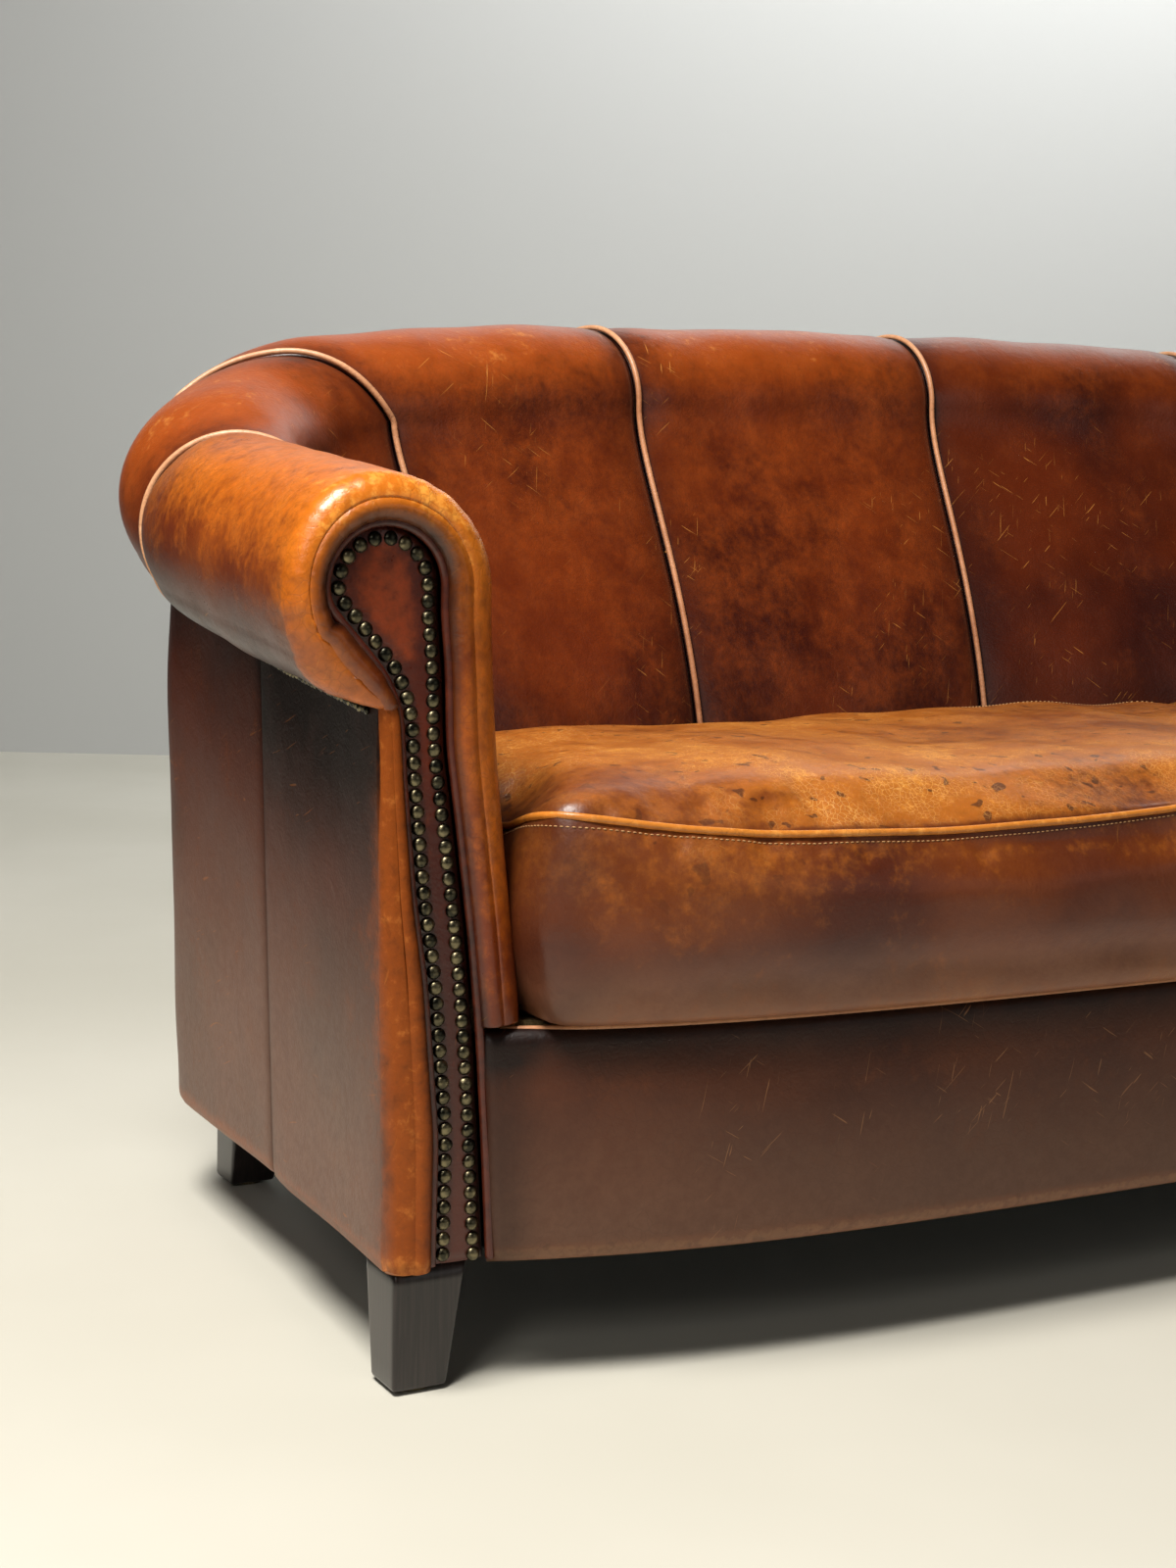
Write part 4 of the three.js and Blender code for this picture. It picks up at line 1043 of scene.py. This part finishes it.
# Feet
# a foot's size at its top and at the floor; a place is its outer corner, its side and its depth's direction
foot = {"top": (57, 54), "bottom": (42, 41), "low": 3.4, "high": 93.6, "squareness": 16, "places": {
    "front_left": (1051, -322, 1, 1), "front_right": (1051, -322, -1, 1),
    "rear_left": (985, 238, 1, -1), "rear_right": (985, 238, -1, -1)}}


def makeFoot(label, x, y, side, depth):
    # rings of a rounded square, |x|^n + |y|^n = 1, which taper on the foot's two inner faces
    turn = np.linspace(0, 2 * np.pi, 96, endpoint=False)
    waves = np.cos(turn), np.sin(turn)
    ringX, ringY = (np.sign(wave) * np.abs(wave) ** (2 / foot["squareness"]) for wave in waves)
    z = np.array([foot["low"], 4.2, 6.0, 20, 40, 60, 80, foot["high"]])[:, None]
    share = (z - foot["low"]) / (foot["high"] - foot["low"])
    inset = np.array([1.2, 0.4, 0, 0, 0, 0, 0, 0])[:, None]
    wide, deep = (low + (high - low) * share for low, high in zip(foot["bottom"], foot["top"]))
    px = side * (x - wide / 2 - (wide / 2 - inset) * ringX)
    py = y + depth * (deep / 2 + (deep / 2 - inset) * ringY)
    rows, sides = px.shape
    faces = quads(rows, sides, False, True).tolist()
    faces += [list(range(sides))[::-1], list(range((rows - 1) * sides, rows * sides))]
    piece = makeMesh(f"{label}_wooden_foot", np.stack(np.broadcast_arrays(px, py, z), -1), faces)
    # the two end faces stay flat
    piece.data.polygons.foreach_set("use_smooth", np.arange(len(faces)) < len(faces) - 2)
    place(piece, "dark_wood", darkWood, f"{label}_foot")


for label, spot in foot["places"].items():
    makeFoot(label, *spot)
print("front and feet made")


# Seat cushions
cushion = {"foot": 264.5, "edge": 400, "top": 433, "front": 28, "halfGap": 3, "halfWidth": 953,
           "lowerRound": 15, "ringPoints": 300, "belly": 8.0, "cornerBlur": 12, "voxel": 7.5, "cord": 2.8,
           "stitchPitch": 4.4}
# cloth settings; frames is how long it swells, and mostMove the cap on its movement in mm
stuffing = {"pressure": 4, "shrink": -0.012, "tension": 12, "bending": 2.0, "frames": 14, "mostMove": 7}


def cushionOutline():
    # plan outline of the left cushion: bow front, rounded corners, the tub's curve behind, a straight middle
    s = np.linspace(0, 1440, 70)
    p = planes(s)
    rear = np.stack(seatPlan(s), -1) - 6 * np.stack([p["dx"], p["dy"]], -1)
    middle, outer = cushion["halfGap"], cushion["halfWidth"]
    rear = rear[(rear[:, 0] > middle + 1) & (rear[:, 0] < outer)]
    x = np.linspace(outer - 2, middle, 60)
    front = np.stack([x, bowY(x) - cushion["front"]], -1)
    loop = np.concatenate([[[middle, rear[0, 1]]], rear, [[outer, -60], [outer, -200], [outer, -318]], front])
    corners = softPath(softPath(loop, 5.0, 0, True), 5.0, cushion["cornerBlur"], True)
    closed = np.concatenate([corners, corners[:1]])
    return pointsAt(closed, np.linspace(0, walked(closed)[-1], cushion["ringPoints"], endpoint=False))


def seamHeight(x, y):
    # the upper seam rises towards the front corners: z = edge + 18 ((|x| - 640) / 310)^2
    lift = np.minimum(1, ((np.abs(x) - 640) / 310) ** 2)
    return cushion["edge"] + 18 * lift * smoothStep(-250, -380, y) + 8 * smoothStep(-250, 0, y)


def cushionGrid(outline, side):
    # rings of the cushion from the middle of its underside to its crown, and the number of the seam's ring
    low, high = outline.min(0), outline.max(0)
    half = (high[1] - low[1]) / 2
    spineX = np.clip(outline[:, 0], low[0] + half * 0.9, high[0] - half * 0.9)
    spine = np.stack([spineX, np.full(len(outline), low[1] + half)], -1)
    away = outline - spine
    tangent = unit(np.roll(outline, -1, 0) - np.roll(outline, 1, 0))
    flatNormal = np.stack([tangent[:, 1], -tangent[:, 0]], -1)
    flatNormal *= np.sign((flatNormal * away).sum(-1).mean())
    foot, lowerRound, top = cushion["foot"], cushion["lowerRound"], cushion["top"]
    seam = seamHeight(outline[:, 0], outline[:, 1])
    rings = [(spine + away * share, foot) for share in (0.04, 0.25, 0.5, 0.75, 0.9)]
    # round the bottom edge and up the border, which bellies out
    for angle in np.radians(np.linspace(0, 90, 9)):
        inset = lowerRound * (1 - math.sin(angle))
        rings.append((outline - unit(away) * inset, foot + lowerRound * (1 - math.cos(angle))))
    base = foot + lowerRound
    for share in np.linspace(0, 1, 20)[1:]:
        belly = cushion["belly"] * math.sin(math.pi * share) ** 0.8 - 2 * share
        rings.append((outline + flatNormal * belly, base + (seam - base) * share))
    seamRing = len(rings) - 1
    # the top panel: quickly up from the seam, then a slow crown towards the spine
    for inset in (2, 5, 9, 14, 20, 28, 38, 52, 70, 94, 122, 155, 190, 222):
        near = math.exp(-inset / 12)
        drawn = outline - flatNormal * inset * near - away * min(inset / 250, 0.96) * (1 - near)
        crown = 6 * math.sin(inset / 222 * math.pi / 2)
        rings.append((drawn, seam + (top - seam) * (1 - math.exp(-inset / 34)) + crown))
    rings.append((spine + away * 0.03, top + 6))
    heights = [np.broadcast_to(height, len(outline)) for _, height in rings]
    outlines = [ring * [side, 1] for ring, _ in rings]
    return np.dstack([outlines, heights]), seamRing


def relax(path, passes):
    # a closed path drawn towards the middle of each point's neighbours
    for _ in range(passes):
        path = (path + (np.roll(path, 1, 0) + np.roll(path, -1, 0)) / 2) / 2
    return path


def readVertices(mesh, key="co"):
    values = np.zeros(len(mesh.vertices) * 3)
    mesh.vertices.foreach_get(key, values)
    return values.reshape(-1, 3)


def applied(piece, modifier):
    bpy.context.view_layer.objects.active = piece
    bpy.ops.object.modifier_apply(modifier=modifier.name)


def simulated(piece):
    # the stuffing: the cover is blown up as cloth a few millimetres, so its top rounds and puckers freely
    scene = bpy.context.scene
    start = readVertices(piece.data)
    cloth = piece.modifiers.new("stuffing", "CLOTH")
    cloth.settings.use_pressure = True
    cloth.settings.uniform_pressure_force = stuffing["pressure"]
    cloth.settings.effector_weights.gravity = 0
    cloth.settings.quality = 3
    cloth.settings.shrink_min = stuffing["shrink"]
    cloth.settings.tension_stiffness = stuffing["tension"]
    cloth.settings.bending_stiffness = stuffing["bending"]
    for number in range(stuffing["frames"]):
        scene.frame_set(number + 1)
    move = readVertices(piece.evaluated_get(bpy.context.evaluated_depsgraph_get()).data) - start
    piece.modifiers.remove(cloth)
    scene.frame_set(1)
    far = np.linalg.norm(move, axis=1, keepdims=True)
    limit = stuffing["mostMove"] * 0.001 * smoothStep(0.262, 0.300, start[:, 2:3])
    move = move / np.maximum(far, 1e-9) * np.minimum(far, limit)
    piece.data.vertices.foreach_set("co", (start + move).ravel())
    piece.data.update()


def makeCushion(label, side, seed):
    grid, seamRing = cushionGrid(cushionOutline(), side)
    rows, columns = grid.shape[:2]
    count, lastRing = rows * columns, (rows - 1) * columns
    points = np.concatenate([grid.reshape(-1, 3), grid[[0, -1]].mean(1)])
    faces = quads(rows, columns, False, True).tolist()
    for a in range(columns):
        b = (a + 1) % columns
        faces += [[b, a, count], [lastRing + a, lastRing + b, count + 1]]
    piece = makeMesh(f"{label}_seat_cushion_cover", points, faces)
    remesh = piece.modifiers.new("even", "REMESH")
    remesh.mode = "VOXEL"
    remesh.voxel_size = cushion["voxel"] * 0.001
    applied(piece, remesh)
    simulated(piece)
    refine = piece.modifiers.new("finer", "SUBSURF")
    refine.levels = refine.render_levels = 1
    applied(piece, refine)
    shapeCushion(piece, seed)
    place(piece, "cushion_leather", leatherFinish["cushion"], f"{label}_seat_cushion")

    # piping and stitches lie on the finished cover
    surface = BVHTree.FromObject(piece, bpy.context.evaluated_depsgraph_get())

    def onSurface(points, lift):
        hits = [surface.find_nearest((point * 0.001).tolist()) for point in points]
        normals = np.array([tuple(hit[1]) for hit in hits])
        return np.array([tuple(hit[0]) for hit in hits]) * 1000 + lift * normals, normals

    path, normals = onSurface(softPath(grid[seamRing], 6.0, 4, True), 1.2)
    path = relax(path, 6)
    values = {"rub": 0.55 + 0.2 * smoothStep(-200, -380, path[:, 1]), "grime_and_shade": 0, "low": 0}
    cord = cordMesh(f"{label}_cushion_cord", path, normals, cushion["cord"], values, closed=True)
    place(cord, "piping_leather", leatherFinish["edge"])
    # the stitches run under the piping, along the front and sides only, and skip any break in the line
    line, _ = onSurface(softPath(grid[seamRing] - [0, 0, 7.5], 6.0, 2, True), 0.3)
    line = line[line[:, 1] < 40]
    line = line[np.argsort(np.arctan2(line[:, 1] + 130, line[:, 0] - side * 480))]
    line = softPath(line, 5.0, 2)
    line = line[1:][np.diff(walked(line)) < 9]
    spots, normals = onSurface(evenly(line, cushion["stitchPitch"]), 0.1)
    stitches = repeatShape(f"{label}_cushion_stitches", stitchShape(), spots, normals, 0.05, seed)
    place(stitches, "piping_leather", thread)


def stitchShape():
    # a short thread: a low dome drawn out along its length
    points, faces = dome(8, 2, 1.0, 0.75)
    return points * np.array([1.6, 0.55, 1.0]), faces


def shapeCushion(piece, seed):
    # long creases and hollows pressed in by use, then the worn and dirty places, with painted shade and a
    # painted floor reflection
    co, normal = readVertices(piece.data) * 1000, readVertices(piece.data, "normal")
    x, y, z = np.abs(co[:, 0]), co[:, 1], co[:, 2]
    onTop = smoothStep(0.5, 0.9, normal[:, 2])
    free = smoothStep(268, 300, z)
    dent = 2.2 * undulate(co, 190, seed) * onTop + 1.2 * undulate(co, 90, seed + 1) * free
    hollow = -6 * np.exp(-(((x - 470) / 250) ** 2 + ((y + 130) / 170) ** 2)) * onTop
    # a fan of creases from each front corner
    fan = 0
    for cornerX, turn in ((930, 0.6), (30, -0.6)):
        dx, dz = (x - cornerX) / 110, (z - 370) / 70
        crease = np.exp(-(dx**2)) * np.exp(-((dz + turn * dx) ** 2) * 9)
        fan = fan - 1.6 * crease * smoothStep(-330, -370, y)
    co = co + normal * ((dent + hollow + fan) * free)[:, None]
    piece.data.vertices.foreach_set("co", (co * 0.001).ravel())
    # dirt and painted shade along the border under the seam, at the back where it tucks under the tub and at
    # the outer end beside the arm; the foot of the border is paler, partly wear and partly a painted floor
    # reflection, which low greys further
    nearSeam = np.exp(-np.abs(z - seamHeight(co[:, 0], y)) / 10)
    onBorder = (0.12 + 0.13 * smoothStep(320, 405, z) + 0.12 * undulate(co, 170, seed + 3)
                + 0.20 * smoothStep(285, 270, z))
    values = {
        "rub": onTop * (0.60 + 0.16 * undulate(co, 260, seed + 2)) + (1 - onTop) * onBorder
               + 0.12 * smoothStep(-150, -400, y) * smoothStep(0.25, 0.7, normal[:, 2]),
        "grime_and_shade": 0.35 * nearSeam * (1 - onTop) + 0.55 * smoothStep(20, 100, y)
                 + 0.45 * smoothStep(915, 950, x),
        "low": 0.55 * smoothStep(325, 275, z) * (1 - onTop),
    }
    for key, value in values.items():
        attribute = piece.data.attributes.new(key, "FLOAT", "POINT")
        attribute.data.foreach_set("value", np.clip(value, 0, 1).astype(np.float32))
    piece.data.polygons.foreach_set("use_smooth", np.ones(len(piece.data.polygons), bool))


for label, side, seed in (("left", 1, 130), ("right", -1, 140)):
    makeCushion(label, side, seed)
print("cushions made")


# Finishes for the frame's own parts
inner = {"frame_wood": sawnBeech, "spring_steel": springWire, "jute": juteCanvas, "black_cloth": underCloth,
         "felt": pressedFelt}
slots = {part["node"]: part["material_slot"] for part in frame["record"]["subparts"]}
for name, item in frame["nodes"].items():
    if slots[name] in inner:
        item.data.materials.clear()
        item.data.materials.append(inner[slots[name]])


# Studio
# the room in metres, measured from the camera; the lights' places in metres and their power in watts
studio = {"wallDistance": 5.46, "floorHalf": 7.0, "wallHeight": 5.0, "wallLeft": 2.2, "wallRight": 7.0}
lights = {
    "overhead": {"at": (-2.0, -0.8, 2.9), "aim": (-0.9, -0.5, 0), "size": (1.0, 1.0), "power": 150},
    "left_front": {"at": (-3.2, -2.4, 2.2), "aim": (-0.9, 0, 0.5), "size": (0.8, 1.0), "power": 14},
    "front_fill": {"at": (1.5, -4.2, 1.8), "aim": (0, 0, 0.4), "size": (2.6, 1.8), "power": 9},
    "wall_wash": {"at": (1.6, 1.4, 3.0), "aim": (2.2, 3.6, 1.3), "size": (3.2, 1.0), "power": 88,
                  "colour": "#ffffff"},
}
air = {"colour": "#d9dde0", "strength": 0.022}


def makeStudio():
    # painted concrete with a faint satin, and a matt grey wall square to the camera
    paint, surface = startMaterial("painted_concrete", 0.62)
    spot = addNode(paint, "ShaderNodeTexCoord").outputs["Object"]
    tone = addNode(paint, "ShaderNodeTexNoise", {"Vector": spot}, Scale=1.3, Detail=4.0).outputs["Fac"]
    fill(paint, surface, Base_Color=blendTwo(paint, band(paint, tone, 0.3, 0.7), "#cccabd", "#d5d3c7"))
    plaster, surface = startMaterial("matt_grey_plaster", 0.9)
    surface.inputs["Base Color"].default_value = linear("#bdbfbe")
    half, high = studio["floorHalf"], studio["wallHeight"]
    turn = math.radians(camera["turn"])
    across = np.array([math.cos(turn), -math.sin(turn)])
    forward = np.array([math.sin(turn), math.cos(turn)])
    centre = camera["place"][:2] + forward * studio["wallDistance"]
    left, right = centre - across * studio["wallLeft"], centre + across * studio["wallRight"]
    corners = {
        "floor": [[-half, -half, 0], [half, -half, 0], [half, half, 0], [-half, half, 0]],
        "wall": [[*left, 0], [*left, high], [*right, high], [*right, 0]],
    }
    for (name, points), finish in zip(corners.items(), (paint, plaster)):
        sheet = makeMesh(name, np.array(points) * 1000, [[0, 1, 2, 3]], closed=False)
        sheet.data.materials.append(finish)


def makeLight(name, at, aim, size, power, colour="#fffaf4"):
    data = bpy.data.lights.new(name, "AREA")
    data.shape = "RECTANGLE"
    data.size, data.size_y = size
    data.energy = power
    data.color = linear(colour)[:3]
    item = bpy.data.objects.new(name, data)
    forward = unit(np.array(aim, float) - at)
    side = unit(np.cross(forward, [0.0, 0.0, 1.0]) + [1e-6, 0, 0])
    axes = Matrix([side, np.cross(side, forward), -forward]).transposed().to_4x4()
    item.matrix_world = Matrix.Translation(at) @ axes
    bpy.context.scene.collection.objects.link(item)


makeStudio()
for name, light in lights.items():
    makeLight(name, **light)
world = bpy.data.worlds.new("studio_air")
world.use_nodes = True
world.node_tree.nodes["Background"].inputs[0].default_value = linear(air["colour"])
world.node_tree.nodes["Background"].inputs[1].default_value = air["strength"]
bpy.context.scene.world = world
